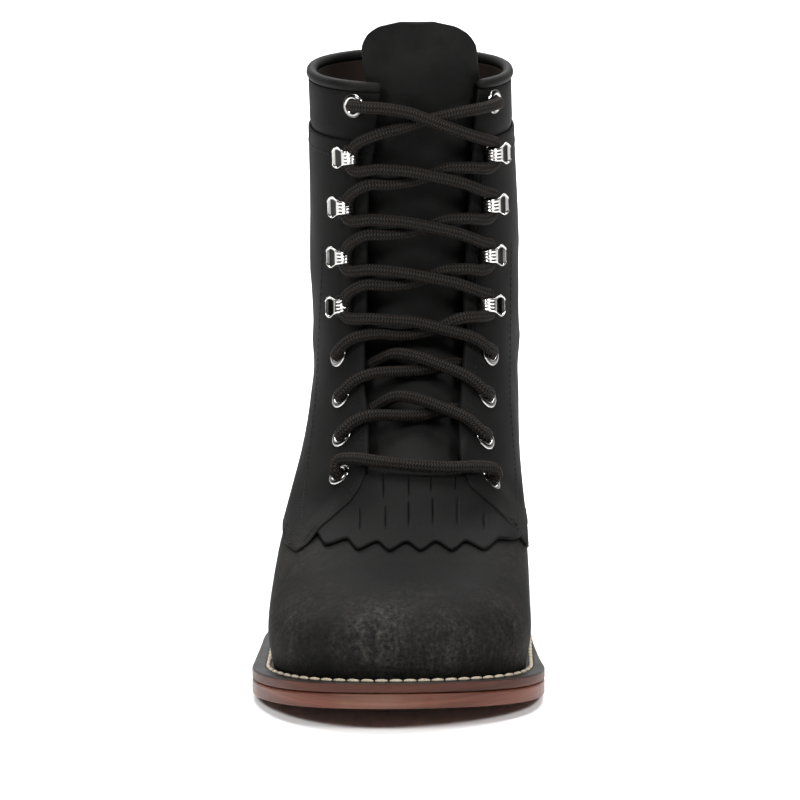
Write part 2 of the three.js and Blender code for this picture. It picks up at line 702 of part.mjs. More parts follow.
// And above it. rise: share of tongueRise.
const tongueTop = [
  { rise: 0.3, half: 0.325 },
  { rise: 0.62, half: 0.325 },
  { rise: 0.8, half: 0.285 },
  { rise: 0.92, half: 0.215 },
  { rise: 1, half: 0.11 },
];
const throatMiddle = (z) => (edgeX(-1, z) + edgeX(1, z)) / 2;
function tongueGeometry() {
  const across = even(6, -1, 1);
  const outer = [];
  const inner = [];
  const lay = (places, sink, lift) => {
    outer.push(places.map((p) => offset(p.round, p.climb, -sink).add(lift)));
    inner.push(places.map((p) => offset(p.round, p.climb, -sink - tongueThickness).add(lift)));
  };
  const level = new THREE.Vector3();
  for (const height of even(12, tongueRows[0].height, 1)) {
    const z = height * collarHeight;
    const half = shaftWidth * read(tongueRows, "height", "half", height);
    const sink = read(tongueRows, "height", "sink", height);
    lay(across.map((share) => frontPlace(throatMiddle(z) + share * half, z)), sink, level);
  }
  const { sink } = tongueRows[tongueRows.length - 1];
  for (const { rise, half } of tongueTop) {
    const middle = throatMiddle(collarHeight) * (1 - 0.6 * Math.sqrt(rise));
    const roundAt = (share) => frontRound(middle + share * half * shaftWidth, 1);
    const places = across.map((share) => ({ round: roundAt(share), climb: 1 }));
    lay(places, sink, new THREE.Vector3(0, 0, rise * tongueRise));
  }
  return slab(outer, inner, false);
}
add("tongue", tongueGeometry(), leatherFinish);

// Kiltie: the fringed flap over the vamp, with a toothed lower edge, tucked between the quarters' edges.
// Its upper end dives into the throat. rise: share of the way from the teeth up to the vamp's edge.
// beyond: share of the way from that edge to the kiltie's top.
const kiltieRows = [
  { rise: 0, beyond: 0, dive: 0 },
  { rise: 0.33, beyond: 0, dive: 0 },
  { rise: 0.67, beyond: 0, dive: 0 },
  { rise: 1, beyond: 0.1, dive: 0 },
  { rise: 1, beyond: 0.55, dive: 2.6 },
  { rise: 1, beyond: 1, dive: 4.2 },
];
function kiltieGeometry() {
  const perTooth = 2;
  const across = even(teeth * perTooth, -1, 1);
  const droop = (share) => (share < 0 ? 1 : 4) * share * share;
  const faces = (lift) => kiltieRows.map((row) => across.map((share, j) => {
    const tooth = j % perTooth === 0 ? toothDepth / 2 : -toothDepth / 2;
    const low = kiltieFoot - droop(share) + tooth;
    const z = lerp(lerp(low, throatBottom, row.rise), kiltieTop, row.beyond);
    const left = edgeX(-1, z) + edgeClearance;
    const right = edgeX(1, z) - edgeClearance;
    const place = frontPlace(lerp(left, right, (share + 1) / 2), z);
    return offset(place.round, place.climb, lift - row.dive);
  }));
  return slab(faces(kiltieLift + kiltieThickness), faces(kiltieLift), false);
}
add("kiltie", kiltieGeometry(), leatherFinish);

// Laces: each crossing is one solid of two strands.
// across: share of the way from the strand's high end to its low end.
// drop: share of the pitch below the upper row.
// lift: how far the strand's middle lies out of the skin.
const over = overlay + fittingGap + laceRadius + 0.5;
const onTongue = -4.8 + gap + laceRadius + 1.2;
const under = -leather - gap - laceRadius;
const crossOver = 2.6;
const laceSteps = 8;
const strands = {
  top: [
    { across: 0.06, drop: 0.06, lift: over + 0.9 },
    { across: 0.2, drop: 0.04, lift: over + 0.3 },
    { across: 0.45, drop: 0.2, lift: onTongue + 1 },
    { across: 0.65, drop: 0.39, lift: onTongue + 1 },
    { across: 0.86, drop: 0.57, lift: over },
    { across: 1.0, drop: 0.72, lift: over },
  ],
  hooks: [
    { across: 0, drop: 0.3, lift: over },
    { across: 0.2, drop: 0.28, lift: over + 0.5 },
    { across: 0.5, drop: 0.33, lift: onTongue + 0.3 },
    { across: 0.8, drop: 0.47, lift: over + 0.5 },
    { across: 0.95, drop: 0.61, lift: over },
    { across: 1, drop: 0.7, lift: over },
  ],
  ankle: [
    { across: 0.02, drop: 0.32, lift: over + 0.5 },
    { across: 0.2, drop: 0.26, lift: over + 1.2 },
    { across: 0.49, drop: 0.25, lift: onTongue + 1.2 },
    { across: 0.69, drop: 0.36, lift: onTongue + 2.4 },
    { across: 0.88, drop: 0.56, lift: over + 1.6 },
    { across: 0.98, drop: 0.8, lift: over + 1.6 },
  ],
  instep: [
    { across: 0.15, drop: -0.08, lift: under },
    { across: 0.26, drop: -0.16, lift: under },
    { across: 0.52, drop: -0.12, lift: -1 },
    { across: 0.7, drop: 0.14, lift: 1.4 },
    { across: 0.88, drop: 0.52, lift: over + 0.4 },
    { across: 0.98, drop: 0.76, lift: over + 1.1 },
  ],
};

// A strand from the fitting row above on one side to the row below on the other
function strandPath(kind, row, fromSide, extraLift) {
  const [near, far] = fromSide < 0 ? ["inner", "outer"] : ["outer", "inner"];
  const start = fittings[near][row].point;
  const low = Math.min(row + 1, fittings[far].length - 1);
  const end = fittings[far][low].point;
  const points = strands[kind].map(({ across, drop, lift }) => {
    const x = lerp(start.x, end.x, across);
    const z = lerp(start.z, end.z, drop);
    const place = frontPlace(x, z);
    const hump = extraLift * Math.exp(-(((across - 0.55) / 0.16) ** 2));
    return offset(place.round, place.climb, lift + hump);
  });
  return new THREE.CatmullRomCurve3(points);
}

function crossing(row) {
  const kind = row === 0 ? "top" : row < hookRows ? "hooks" : row === hookRows ? "ankle" : "instep";
  const upperStrand = solid(tube(strandPath(kind, row, -1, crossOver), laceRadius, laceSteps));
  const lowerStrand = solid(tube(strandPath(kind, row, 1, 0), laceRadius, laceSteps));
  return geometryOf(upperStrand.add(lowerStrand));
}
const lastRow = hookRows + eyeletRowsBelow;
for (let row = 0; row < lastRow - 1; row += 1) add(`lace_crossing_${row}`, crossing(row), laceFinish);

// The lowest lace is a straight bar between the last two eyelets
function barGeometry() {
  const start = fittings.inner[lastRow].point;
  const end = fittings.outer[lastRow].point;
  const bar = [
    { across: 0.03, up: 2.4, lift: over + 1.5 },
    { across: 0.12, up: 4.6, lift: over + 0.9 },
    { across: 0.3, up: 5.2, lift: over + 0.4 },
    { across: 0.5, up: 5, lift: over + 0.4 },
    { across: 0.7, up: 4.6, lift: over + 0.4 },
    { across: 0.88, up: 4, lift: over + 0.9 },
    { across: 0.97, up: 2.2, lift: over + 1.5 },
  ];
  const points = bar.map(({ across, up, lift }) => {
    const place = frontPlace(lerp(start.x, end.x, across), lerp(start.z, end.z, across) + up);
    return offset(place.round, place.climb, lift);
  });
  return tube(new THREE.CatmullRomCurve3(points), laceRadius, laceSteps);
}
add("lace_bar", barGeometry(), laceFinish);

export default boot;
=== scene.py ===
import math

import bpy
import numpy as np
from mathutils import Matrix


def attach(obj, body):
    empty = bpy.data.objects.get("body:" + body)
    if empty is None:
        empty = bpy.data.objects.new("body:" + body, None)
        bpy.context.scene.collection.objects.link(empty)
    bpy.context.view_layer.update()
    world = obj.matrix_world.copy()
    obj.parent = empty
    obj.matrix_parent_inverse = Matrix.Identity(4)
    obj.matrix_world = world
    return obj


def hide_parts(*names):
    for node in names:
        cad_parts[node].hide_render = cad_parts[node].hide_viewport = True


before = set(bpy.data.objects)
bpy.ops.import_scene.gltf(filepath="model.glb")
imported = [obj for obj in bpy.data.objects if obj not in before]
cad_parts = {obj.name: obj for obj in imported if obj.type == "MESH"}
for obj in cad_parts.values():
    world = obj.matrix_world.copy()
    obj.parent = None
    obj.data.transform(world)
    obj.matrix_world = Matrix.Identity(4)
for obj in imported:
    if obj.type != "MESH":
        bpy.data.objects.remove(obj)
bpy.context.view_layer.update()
MM = 0.001

# Foot and shaft
SOLE_LENGTH = 296.0
HEEL_CENTRE = 260.0
FOOT_WIDTH = 99.0
SHAFT_WIDTH = 82.0
INSTEP_RISE = 84.0
COLLAR_HEIGHT = 215.0
LEATHER = 2.2
OVERLAY = 1.3
BAND_OVERLAY = 0.5
BAND_DEPTH = 20.0
BINDING_RADIUS = 2.0

# Sole
HEEL_HEIGHT = 22.0
LIFT_THICKNESS = 6.0
OUTSOLE_THICKNESS = 5.8
WELT_THICKNESS = 4.0
INSOLE_THICKNESS = 5.0
TOE_SPRING = 9.5
HEEL_LENGTH = 74.0
GAP = 0.3

# Fittings and lace
FITTING_PITCH = 20.3
TOP_FITTING_DROP = 5.6
LACE_RADIUS = 2.35

RIGHT_ANGLE = math.pi / 2


def ease(share):
    s = np.clip(share, 0.0, 1.0)
    return s * s * (3.0 - 2.0 * s)


def bell(value, middle, width):
    return np.exp(-(((value - middle) / width) ** 2))


def lerp(a, b, share):
    return a + (b - a) * share


def smooth(values, at):
    """A smooth curve through evenly spaced values, at places counted in steps."""
    values = np.asarray(values, float)
    slopes = np.gradient(values)
    place = np.clip(at, 0.0, len(values) - 1.0)
    i = np.minimum(len(values) - 2, place.astype(int))
    f = place - i
    f2 = f * f
    f3 = f2 * f
    ends = values[i] * (2 * f3 - 3 * f2 + 1) + values[i + 1] * (3 * f2 - 2 * f3)
    return ends + slopes[i] * (f3 - 2 * f2 + f) + slopes[i + 1] * (f3 - f2)


# Side view of the sole, by depth behind the toe tip
TREAD_START = 0.3 * SOLE_LENGTH
TREAD_END = 0.4 * SOLE_LENGTH
BREAST = SOLE_LENGTH - HEEL_LENGTH


def underside(depth):
    lift = np.maximum(0.0, 1.0 - depth / TREAD_START)
    return TOE_SPRING * lift**2 + HEEL_HEIGHT * ease((depth - TREAD_END) / (BREAST - TREAD_END))


def outsole_top(depth):
    return underside(depth) + OUTSOLE_THICKNESS


def welt_top(depth):
    return outsole_top(depth) + GAP + WELT_THICKNESS


def seat(depth):
    return welt_top(depth) + GAP


ANKLE_LINE = seat(np.array(SOLE_LENGTH)) + INSTEP_RISE

# The last, as loops that climb from the welt to the collar: ends as shares of the sole's length, heights as
# shares of the rises to and above the ankle line, half widths of the foot's width or, by shaft, the shaft's
SECTION_COLUMNS = (
    "front", "front_foot", "front_shaft", "back", "back_foot", "back_shaft", "follow", "shaft",
    "heel", "waist", "ball", "arch", "nose", "square", "tail", "shift",
)  # fmt: skip
SECTIONS = np.array([
    [0.031, 0, 0, 0.98, 0, 0, 1, 0, 0.333, 0.333, 0.485, 0.06, 0.15, 2, 0.125, 0],
    [0.024, 0.128, 0, 0.99, 0.15, 0, 1, 0, 0.358, 0.369, 0.503, 0.05, 0.15, 2, 0.14, 0],
    [0.04, 0.226, 0, 0.993, 0.28, 0, 0.9, 0, 0.364, 0.394, 0.501, 0.03, 0.19, 2.05, 0.15, 0],
    [0.085, 0.299, 0, 0.991, 0.4, 0, 0.75, 0, 0.364, 0.424, 0.491, 0.01, 0.31, 2.2, 0.16, 0.003],
    [0.152, 0.35, 0, 0.984, 0.52, 0, 0.6, 0, 0.359, 0.424, 0.473, 0, 0.42, 2.3, 0.18, 0.008],
    [0.253, 0.424, 0, 0.975, 0.64, 0, 0.45, 0, 0.359, 0.414, 0.45, 0, 0.48, 2.15, 0.22, 0.02],
    [0.328, 0.551, 0, 0.965, 0.76, 0, 0.3, 0, 0.364, 0.411, 0.434, 0, 0.52, 2.1, 0.27, 0.032],
    [0.399, 0.7, 0, 0.956, 0.88, 0, 0.15, 0.5, 0.41, 0.453, 0.464, 0, 0.55, 2.1, 0.33, 0.037],
    [0.466, 0.862, 0, 0.949, 1, 0, 0, 1, 0.47, 0.504, 0.51, 0, 0.55, 2.15, 0.4, 0.034],
    [0.507, 1, 0.01, 0.943, 1, 0.11, 0, 1, 0.484, 0.51, 0.512, 0, 0.52, 2.2, 0.46, 0.029],
    [0.53, 1, 0.2, 0.938, 1, 0.26, 0, 1, 0.496, 0.512, 0.512, 0, 0.49, 2.2, 0.49, 0.025],
    [0.54, 1, 0.44, 0.932, 1, 0.48, 0, 1, 0.502, 0.507, 0.507, 0, 0.49, 2.25, 0.49, 0.02],
    [0.544, 1, 0.72, 0.925, 1, 0.73, 0, 1, 0.5, 0.5, 0.5, 0, 0.49, 2.3, 0.49, 0.01],
    [0.544, 1, 1, 0.918, 1, 1, 0, 1, 0.5, 0.5, 0.5, 0, 0.49, 2.3, 0.49, 0],
])  # fmt: skip

TAIL_END = 0.26
NOSE_START = 0.55
TAIL_POWER = 2 / 2.2
TOE_SWING = -0.044 * FOOT_WIDTH
TIP_SWING = -0.12 * FOOT_WIDTH
TIP_LENGTH = 0.12 * SOLE_LENGTH


def level(depth, foot, shaft):
    return lerp(seat(depth), ANKLE_LINE, foot) + shaft * (COLLAR_HEIGHT - ANKLE_LINE)


def skin(turn, climb):
    """Points of the last's skin. turn: 0 at the front's middle, -1 or 1 at the back's, negative on the inner
    side. climb: 0 at the welt, 1 at the collar."""
    turn, climb = np.broadcast_arrays(np.asarray(turn, float), np.asarray(climb, float))
    at = climb * (len(SECTIONS) - 1)
    s = {name: smooth(SECTIONS[:, i], at) for i, name in enumerate(SECTION_COLUMNS)}
    run = 1 - np.abs(turn)
    tail_angle = np.clip(run / TAIL_END, 0, 1) * RIGHT_ANGLE
    nose_angle = np.clip((1 - run) / (1 - NOSE_START), 0, 1) * RIGHT_ANGLE
    tail_along = s["tail"] * (1 - np.maximum(0, np.cos(tail_angle)) ** TAIL_POWER)
    power = 2 / s["square"]
    nose_along = 1 - s["nose"] * (1 - np.maximum(0, np.cos(nose_angle)) ** power)
    middle_share = (run - TAIL_END) / (NOSE_START - TAIL_END)
    middle_along = lerp(s["tail"], 1 - s["nose"], middle_share)
    in_tail = run < TAIL_END
    in_nose = run > NOSE_START
    along = np.where(in_tail, tail_along, np.where(in_nose, nose_along, middle_along))
    tail_spread = np.sin(tail_angle) ** TAIL_POWER
    nose_spread = np.sin(nose_angle) ** power
    spread = np.where(in_tail, tail_spread, np.where(in_nose, nose_spread, 1.0))
    front = s["front"] * SOLE_LENGTH
    back = s["back"] * SOLE_LENGTH
    depth = lerp(back, front, along)
    width = lerp(FOOT_WIDTH, SHAFT_WIDTH, s["shaft"])
    rear_half = lerp(s["heel"], s["waist"], ease((along - 0.08) / 0.32))
    fore_half = lerp(s["waist"], s["ball"], ease((along - 0.4) / 0.3))
    half = np.where(along < 0.4, rear_half, fore_half)
    half = half - np.where(turn < 0, s["arch"] * bell(along, 0.38, 0.13), 0)
    back_level = level(back, s["back_foot"], s["back_shaft"])
    front_level = level(front, s["front_foot"], s["front_shaft"])
    bow = seat(depth) - lerp(seat(back), seat(front), along)
    swing = TOE_SWING * (1 - ease((depth / SOLE_LENGTH - 0.06) / 0.8)) * ease(1 - (climb - 0.45) / 0.3)
    tip = TIP_SWING * np.maximum(0, 1 - depth / TIP_LENGTH) ** 2 * ease(1 - (climb - 0.1) / 0.4)
    x = swing + tip + s["shift"] * SHAFT_WIDTH + np.sign(turn) * half * width * spread
    z = lerp(back_level, front_level, along) + s["follow"] * bow
    return np.stack([x, depth - HEEL_CENTRE, z], axis=-1)


def wrap(turn):
    return (np.asarray(turn, float) + 1) % 2 - 1


def unit(vectors):
    return vectors / np.maximum(1e-9, np.linalg.norm(vectors, axis=-1, keepdims=True))


def outward(turn, climb):
    step = 0.004
    across = skin(wrap(turn + step), climb) - skin(wrap(turn - step), climb)
    up = skin(turn, np.minimum(1, climb + step)) - skin(turn, np.maximum(0, climb - step))
    return unit(np.cross(across, up))


# Soft troughs and ridges: from and to as (turn, climb), how wide, and how deep, negative for a ridge
CREASES = [
    ((-0.3, 0.335), (0.28, 0.33), 9.0, 0.5),
    ((-0.34, 0.38), (-0.1, 0.36), 6.0, -0.35),
    ((-0.62, 0.5), (-0.36, 0.56), 8.0, 0.9),
    ((-0.6, 0.55), (-0.34, 0.62), 7.0, -0.6),
    ((-0.64, 0.6), (-0.36, 0.68), 9.0, 0.8),
    ((0.62, 0.5), (0.36, 0.56), 8.0, 0.9),
    ((0.6, 0.56), (0.34, 0.62), 7.0, -0.6),
    ((0.66, 0.62), (0.38, 0.69), 9.0, 0.8),
    ((0.99, 0.52), (0.62, 0.48), 9.0, 0.7),
    ((-0.99, 0.52), (-0.62, 0.48), 9.0, 0.7),
    ((-0.9, 0.7), (-0.5, 0.76), 13.0, 0.7),
    ((0.9, 0.72), (0.5, 0.8), 13.0, 0.7),
    ((-0.75, 0.86), (-0.4, 0.84), 12.0, 0.5),
]


def relief(points):
    """How far the creases move the leather outwards at points of the skin."""
    moved = np.zeros(points.shape[:-1])
    share = np.linspace(0, 1, 9)
    for start, end, width, depth in CREASES:
        line = skin(lerp(start[0], end[0], share), lerp(start[1], end[1], share))
        reach = np.full(points.shape[:-1], 1e9)
        fade = np.zeros(points.shape[:-1])
        for i in range(len(line) - 1):
            a, b = line[i], line[i + 1]
            along = np.clip(((points - a) @ (b - a)) / ((b - a) @ (b - a)), 0, 1)
            away = np.linalg.norm(points - (a + along[..., None] * (b - a)), axis=-1)
            nearer = away < reach
            reach = np.where(nearer, away, reach)
            fade = np.where(nearer, np.sin(math.pi * np.clip((i + along) / (len(line) - 1), 0, 1)), fade)
        moved -= depth * fade * bell(reach, 0, width)
    return moved


def surface(turn, climb, out=0.0):
    base = skin(turn, climb)
    normal = outward(np.asarray(turn, float), np.asarray(climb, float))
    return base + normal * (out + relief(base))[..., None]


def solve(low, high, over):
    """Bisects arrays between two bounds, where over says which values are too high."""
    low, high = np.broadcast_arrays(low, high)
    low, high = low.astype(float).copy(), high.astype(float).copy()
    for _ in range(26):
        middle = (low + high) / 2
        above = over(middle)
        high = np.where(above, middle, high)
        low = np.where(above, low, middle)
    return (low + high) / 2


def climb_at_height(turn, z):
    turn, z = np.broadcast_arrays(np.asarray(turn, float), np.asarray(z, float))
    return solve(np.full(z.shape, 0.12), np.ones(z.shape), lambda c: skin(turn, c)[..., 2] > z)


def front_place(x, z):
    """Turn and climb of the boot's front at a distance from the middle plane and a height."""
    x, z = np.broadcast_arrays(np.asarray(x, float), np.asarray(z, float))
    limit = np.full(x.shape, 0.44)
    turn = solve(-limit, limit, lambda t: skin(t, climb_at_height(t, z))[..., 0] > x)
    return turn, climb_at_height(turn, z)


# The quarters' front edges: heights as shares of the collar's, distances from the middle plane of the shaft's
EDGE_HEIGHTS = np.array([
    0.205, 0.222, 0.243, 0.264, 0.292, 0.314, 0.337, 0.36, 0.42, 0.465, 0.53, 0.62, 0.71, 0.815, 0.9, 1.03,
])  # fmt: skip
EDGE_INNER = np.array([
    -0.6, -0.545, -0.455, -0.365, -0.275, -0.229, -0.201, -0.197, -0.2, -0.22, -0.22, -0.207, -0.207, -0.2,
    -0.173, -0.137,
])  # fmt: skip
EDGE_OUTER = np.array([
    0.558, 0.53, 0.478, 0.412, 0.33, 0.268, 0.24, 0.23, 0.238, 0.248, 0.265, 0.262, 0.273, 0.292, 0.305, 0.34,
])  # fmt: skip
THROAT_BOTTOM = 0.33 * COLLAR_HEIGHT
BAND_CLIMB = float(climb_at_height(0.0, COLLAR_HEIGHT - BAND_DEPTH))


def edge_x(side, z):
    column = EDGE_INNER if side < 0 else EDGE_OUTER
    return SHAFT_WIDTH * np.interp(np.asarray(z) / COLLAR_HEIGHT, EDGE_HEIGHTS, column)


# The quarters' lower edge: depth as a share of the sole's length, heights of the collar's
LOWER_DEPTHS = np.array([0.27, 0.33, 0.39, 0.6, 0.8, 1.1])
LOWER_INNER = np.array([0.225, 0.222, 0.228, 0.236, 0.26, 0.3])
LOWER_OUTER = np.array([0.208, 0.209, 0.226, 0.236, 0.26, 0.3])


def lower_edge(side, y):
    column = LOWER_INNER if side < 0 else LOWER_OUTER
    return COLLAR_HEIGHT * np.interp((y + HEEL_CENTRE) / SOLE_LENGTH, LOWER_DEPTHS, column)


EDGE_CLIMBS = np.linspace(0.2, 1, 241)


def edge_turns(side):
    """Turn of a quarter's front edge, at each of EDGE_CLIMBS."""
    far = np.full(EDGE_CLIMBS.shape, 0.5)

    def beyond(size):
        p = skin(side * size, EDGE_CLIMBS)
        return side * (p[..., 0] - edge_x(side, p[..., 2])) > 0

    return side * solve(np.zeros(far.shape), far, beyond)


EDGE_TURNS = {side: edge_turns(side) for side in (-1, 1)}


def edge_turn(side, climb):
    return np.interp(climb, EDGE_CLIMBS, EDGE_TURNS[side])


def lower_climb(side, turn):
    """Climb of the quarters' lower edge at a turn."""
    turn = np.asarray(turn, float)

    def above(climb):
        p = skin(turn, climb)
        return p[..., 2] > lower_edge(side, p[..., 1])

    return solve(np.full(turn.shape, 0.1), np.full(turn.shape, 0.6), above)


# Mesh making

def clear_selection():
    bpy.ops.object.select_all(action="DESELECT")


def laid_grid(name, points):
    """A grid primitive whose vertices are laid on rows of points, in millimetres."""
    rows, columns = points.shape[:2]
    clear_selection()
    bpy.ops.mesh.primitive_grid_add(x_subdivisions=columns - 1, y_subdivisions=rows - 1, size=1)
    piece = bpy.context.object
    piece.name = name
    piece.data.name = name
    piece.data.vertices.foreach_set("co", (points * MM).reshape(-1))
    piece.data.update()
    return piece


def mend(piece, distance=0.02):
    """Merges doubles and turns the faces outwards."""
    clear_selection()
    piece.select_set(True)
    bpy.context.view_layer.objects.active = piece
    bpy.ops.object.mode_set(mode="EDIT")
    bpy.ops.mesh.select_all(action="SELECT")
    bpy.ops.mesh.remove_doubles(threshold=distance * MM)
    bpy.ops.mesh.normals_make_consistent(inside=False)
    bpy.ops.object.mode_set(mode="OBJECT")
    bpy.ops.object.shade_smooth()
    return piece


def finish_piece(piece, material, slot, *nodes):
    piece.data.materials.clear()
    piece.data.materials.append(material)
    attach(piece, "root")
    if nodes:
        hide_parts(*nodes)
    return piece


def joined(name, pieces):
    clear_selection()
    for piece in pieces:
        piece.select_set(True)
    bpy.context.view_layer.objects.active = pieces[0]
    bpy.ops.object.join()
    piece = bpy.context.object
    piece.name = name
    piece.data.name = name
    return piece


def edge_shares(count, length, round_over):
    """Shares along a panel, close together where its edges are rounded over."""
    near = np.array([0, 0.1, 0.3, 0.62, 1.0]) * round_over / length
    inner = np.linspace(near[-1], 1 - near[-1], count)[1:-1]
    return np.concatenate([near, inner, (1 - near)[::-1]])


def run_lengths(points, axis):
    steps = np.linalg.norm(np.diff(points, axis=axis), axis=-1)
    zero = np.zeros_like(np.take(steps, [0], axis=axis))
    return np.concatenate([zero, np.cumsum(steps, axis=axis)], axis=axis)


def edge_fullness(points, round_over, closed):
    """How full the leather is, from 0 at its cut edges to 1 inside. closed: only the rows end in edges."""
    rise = run_lengths(points, 0)
    away = np.minimum(rise, rise[-1:] - rise)
    if not closed:
        cross = run_lengths(points, 1)
        away = np.minimum(away, np.minimum(cross, cross[:, -1:] - cross))
    return np.sqrt(1 - (1 - np.clip(away / round_over, 0, 1)) ** 2)


def leather(name, base, normal, low, high, round_over, closed=False):
    """A sheet of leather between two distances from a surface, its cut edges rounded over."""
    full = edge_fullness(base, round_over, closed)
    middle = (low + high) / 2
    half = (high - low) / 2 * full
    outer = base + normal * (middle + half)[..., None]
    inner = base + normal * (middle - half)[..., None]
    piece = laid_grid(name, np.concatenate([outer, inner[::-1]]))
    return mend(piece)


def panel(name, turn, climb, low, high, round_over, closed=False):
    """A leather panel that follows the last. turn and climb are grids."""
    return leather(name, surface(turn, climb), outward(turn, climb), low, high, round_over, closed)


def off_skin(turn, climb, out):
    return skin(turn, climb) + outward(turn, climb) * np.asarray(out, float)[..., None]


def front_point(x, z, out):
    turn, climb = front_place(x, z)
    return off_skin(turn, climb, out)


def along_run(at, run, points):
    """Points at distances along a row of points whose own distances are run."""
    return np.stack([np.interp(at, run, column) for column in points.T], axis=-1)


def through(places, step):
    """Points a step apart on a smooth curve through places."""
    places = np.asarray(places, float)
    knots = np.concatenate([[0], np.cumsum(np.linalg.norm(np.diff(places, axis=0), axis=1) ** 0.5)])
    span = np.diff(knots)
    slope = np.diff(places, axis=0) / span[:, None]
    inner = slope[:-1] * span[1:, None] + slope[1:] * span[:-1, None]
    slopes = np.vstack([slope[:1], inner / (span[1:] + span[:-1])[:, None], slope[-1:]])
    fine = []
    for i in range(len(span)):
        f = np.linspace(0, 1, 24, endpoint=False)[:, None]
        hump = 2 * f**3 - 3 * f**2
        point = places[i] * (1 + hump) - places[i + 1] * hump
        point += span[i] * (slopes[i] * (f**3 - 2 * f**2 + f) + slopes[i + 1] * (f**3 - f**2))
        fine.append(point)
    fine = np.vstack(fine + [places[-1:]])
    run = run_lengths(fine, 0)
    at = np.linspace(0, run[-1], max(2, round(run[-1] / step) + 1))
    return along_run(at, run, fine)


def tube(name, path, radius, sides, ribs=0, rib_depth=0.0):
    """A tube with rounded ends along evenly spaced points. ribs run along it."""
    tangent = unit(np.gradient(path, axis=0))
    across = np.empty_like(path)
    across[0] = unit(np.cross(tangent[0], [0.1, 0.2, 1.0]))
    for i in range(1, len(path)):
        moved = across[i - 1] - tangent[i] * (across[i - 1] @ tangent[i])
        across[i] = moved / np.linalg.norm(moved)
    other = np.cross(tangent, across)
    run = run_lengths(path, 0)
    end = np.minimum(run, run[-1] - run)
    full = np.sqrt(1 - (1 - np.clip(end / radius, 0, 1)) ** 2)
    angle = np.linspace(0, 2 * math.pi, sides + 1)
    size = radius * (1 + rib_depth * np.cos(ribs * angle)) * full[:, None]
    around = across[:, None] * np.cos(angle)[None, :, None] + other[:, None] * np.sin(angle)[None, :, None]
    return mend(laid_grid(name, path[:, None] + around * size[..., None]))


def moved_copy(piece, name, axes, origin):
    """A copy of a piece with its own mesh, laid in a frame of three axes."""
    copy = piece.copy()
    copy.data = piece.data.copy()
    copy.name = name
    copy.data.name = name
    bpy.context.collection.objects.link(copy)
    places = np.empty(len(copy.data.vertices) * 3)
    copy.data.vertices.foreach_get("co", places)
    places = places.reshape(-1, 3) @ np.asarray(axes) + np.asarray(origin) * MM
    copy.data.vertices.foreach_set("co", places.reshape(-1))
    copy.data.update()
    return mend(copy, 0.001)


def drop(piece):
    bpy.data.objects.remove(piece, do_unlink=True)


def cut_out(piece, cutters):
    """Cuts holes in a piece and removes the cutters."""
    cutter = joined(cutters[0].name, cutters)
    modifier = piece.modifiers.new("cut", "BOOLEAN")
    modifier.operation = "DIFFERENCE"
    modifier.solver = "EXACT"
    modifier.object = cutter
    clear_selection()
    piece.select_set(True)
    bpy.context.view_layer.objects.active = piece
    bpy.ops.object.modifier_apply(modifier=modifier.name)
    drop(cutter)


# Finishes

def finish(name):
    """A new material, with its node tree, its shader and its object coordinates."""
    material = bpy.data.materials.new(name)
    material.use_nodes = True
    tree = material.node_tree
    place = tree.nodes.new("ShaderNodeTexCoord").outputs["Object"]
    return material, tree, tree.nodes["Principled BSDF"], place


def stretched(tree, place, scale):
    node = tree.nodes.new("ShaderNodeMapping")
    node.inputs["Scale"].default_value = scale
    tree.links.new(place, node.inputs["Vector"])
    return node.outputs["Vector"]


def noise(tree, place, scale, detail=4.0, roughness=0.55):
    node = tree.nodes.new("ShaderNodeTexNoise")
    node.inputs["Scale"].default_value = scale
    node.inputs["Detail"].default_value = detail
    node.inputs["Roughness"].default_value = roughness
    tree.links.new(place, node.inputs["Vector"])
    return node.outputs["Fac"]


def pebbles(tree, place, scale):
    node = tree.nodes.new("ShaderNodeTexVoronoi")
    node.inputs["Scale"].default_value = scale
    tree.links.new(place, node.inputs["Vector"])
    return node.outputs["Distance"]


def ramp(tree, share, *stops):
    """stops: place, then a grey value or a colour."""
    node = tree.nodes.new("ShaderNodeValToRGB")
    while len(node.color_ramp.elements) < len(stops):
        node.color_ramp.elements.new(0.5)
    for element, (place, value) in zip(node.color_ramp.elements, stops):
        element.position = place
        element.color = (*value, 1) if isinstance(value, tuple) else (value, value, value, 1)
    tree.links.new(share, node.inputs["Fac"])
    return node.outputs["Color"]


def spread(tree, share, low, high):
    """Between two grey values or colours, in step with a noise that stays near its middle."""
    return ramp(tree, share, (0.3, low), (0.7, high))


def blend(tree, share, first, second):
    node = tree.nodes.new("ShaderNodeMix")
    node.data_type = "RGBA"
    tree.links.new(share, node.inputs[0])
    tree.links.new(first, node.inputs[6])
    tree.links.new(second, node.inputs[7])
    return node.outputs[2]


def sum_up(tree, kind, first, second):
    node = tree.nodes.new("ShaderNodeMath")
    node.operation = kind
    for socket, value in zip(node.inputs, (first, second)):
        if isinstance(value, (int, float)):
            socket.default_value = value
        else:
            tree.links.new(value, socket)
    return node.outputs[0]


def bumps(tree, shader, *layers):
    """layers: height, strength and depth in millimetres, from the coarse one to the fine one."""
    last = None
    for height, strength, depth in layers:
        node = tree.nodes.new("ShaderNodeBump")
        node.inputs["Strength"].default_value = strength
        node.inputs["Distance"].default_value = depth * MM
        tree.links.new(height, node.inputs["Height"])
        if last is not None:
            tree.links.new(last, node.inputs["Normal"])
        last = node.outputs["Normal"]
    tree.links.new(last, shader.inputs["Normal"])


# The attribute that this reads marks real wear and cut edges, and painted sheen, highlights and dark
# reflections.
def worn_and_painted_light_share(tree):
    node = tree.nodes.new("ShaderNodeAttribute")
    node.attribute_name = "worn_and_painted_light"
    return node.outputs["Fac"]


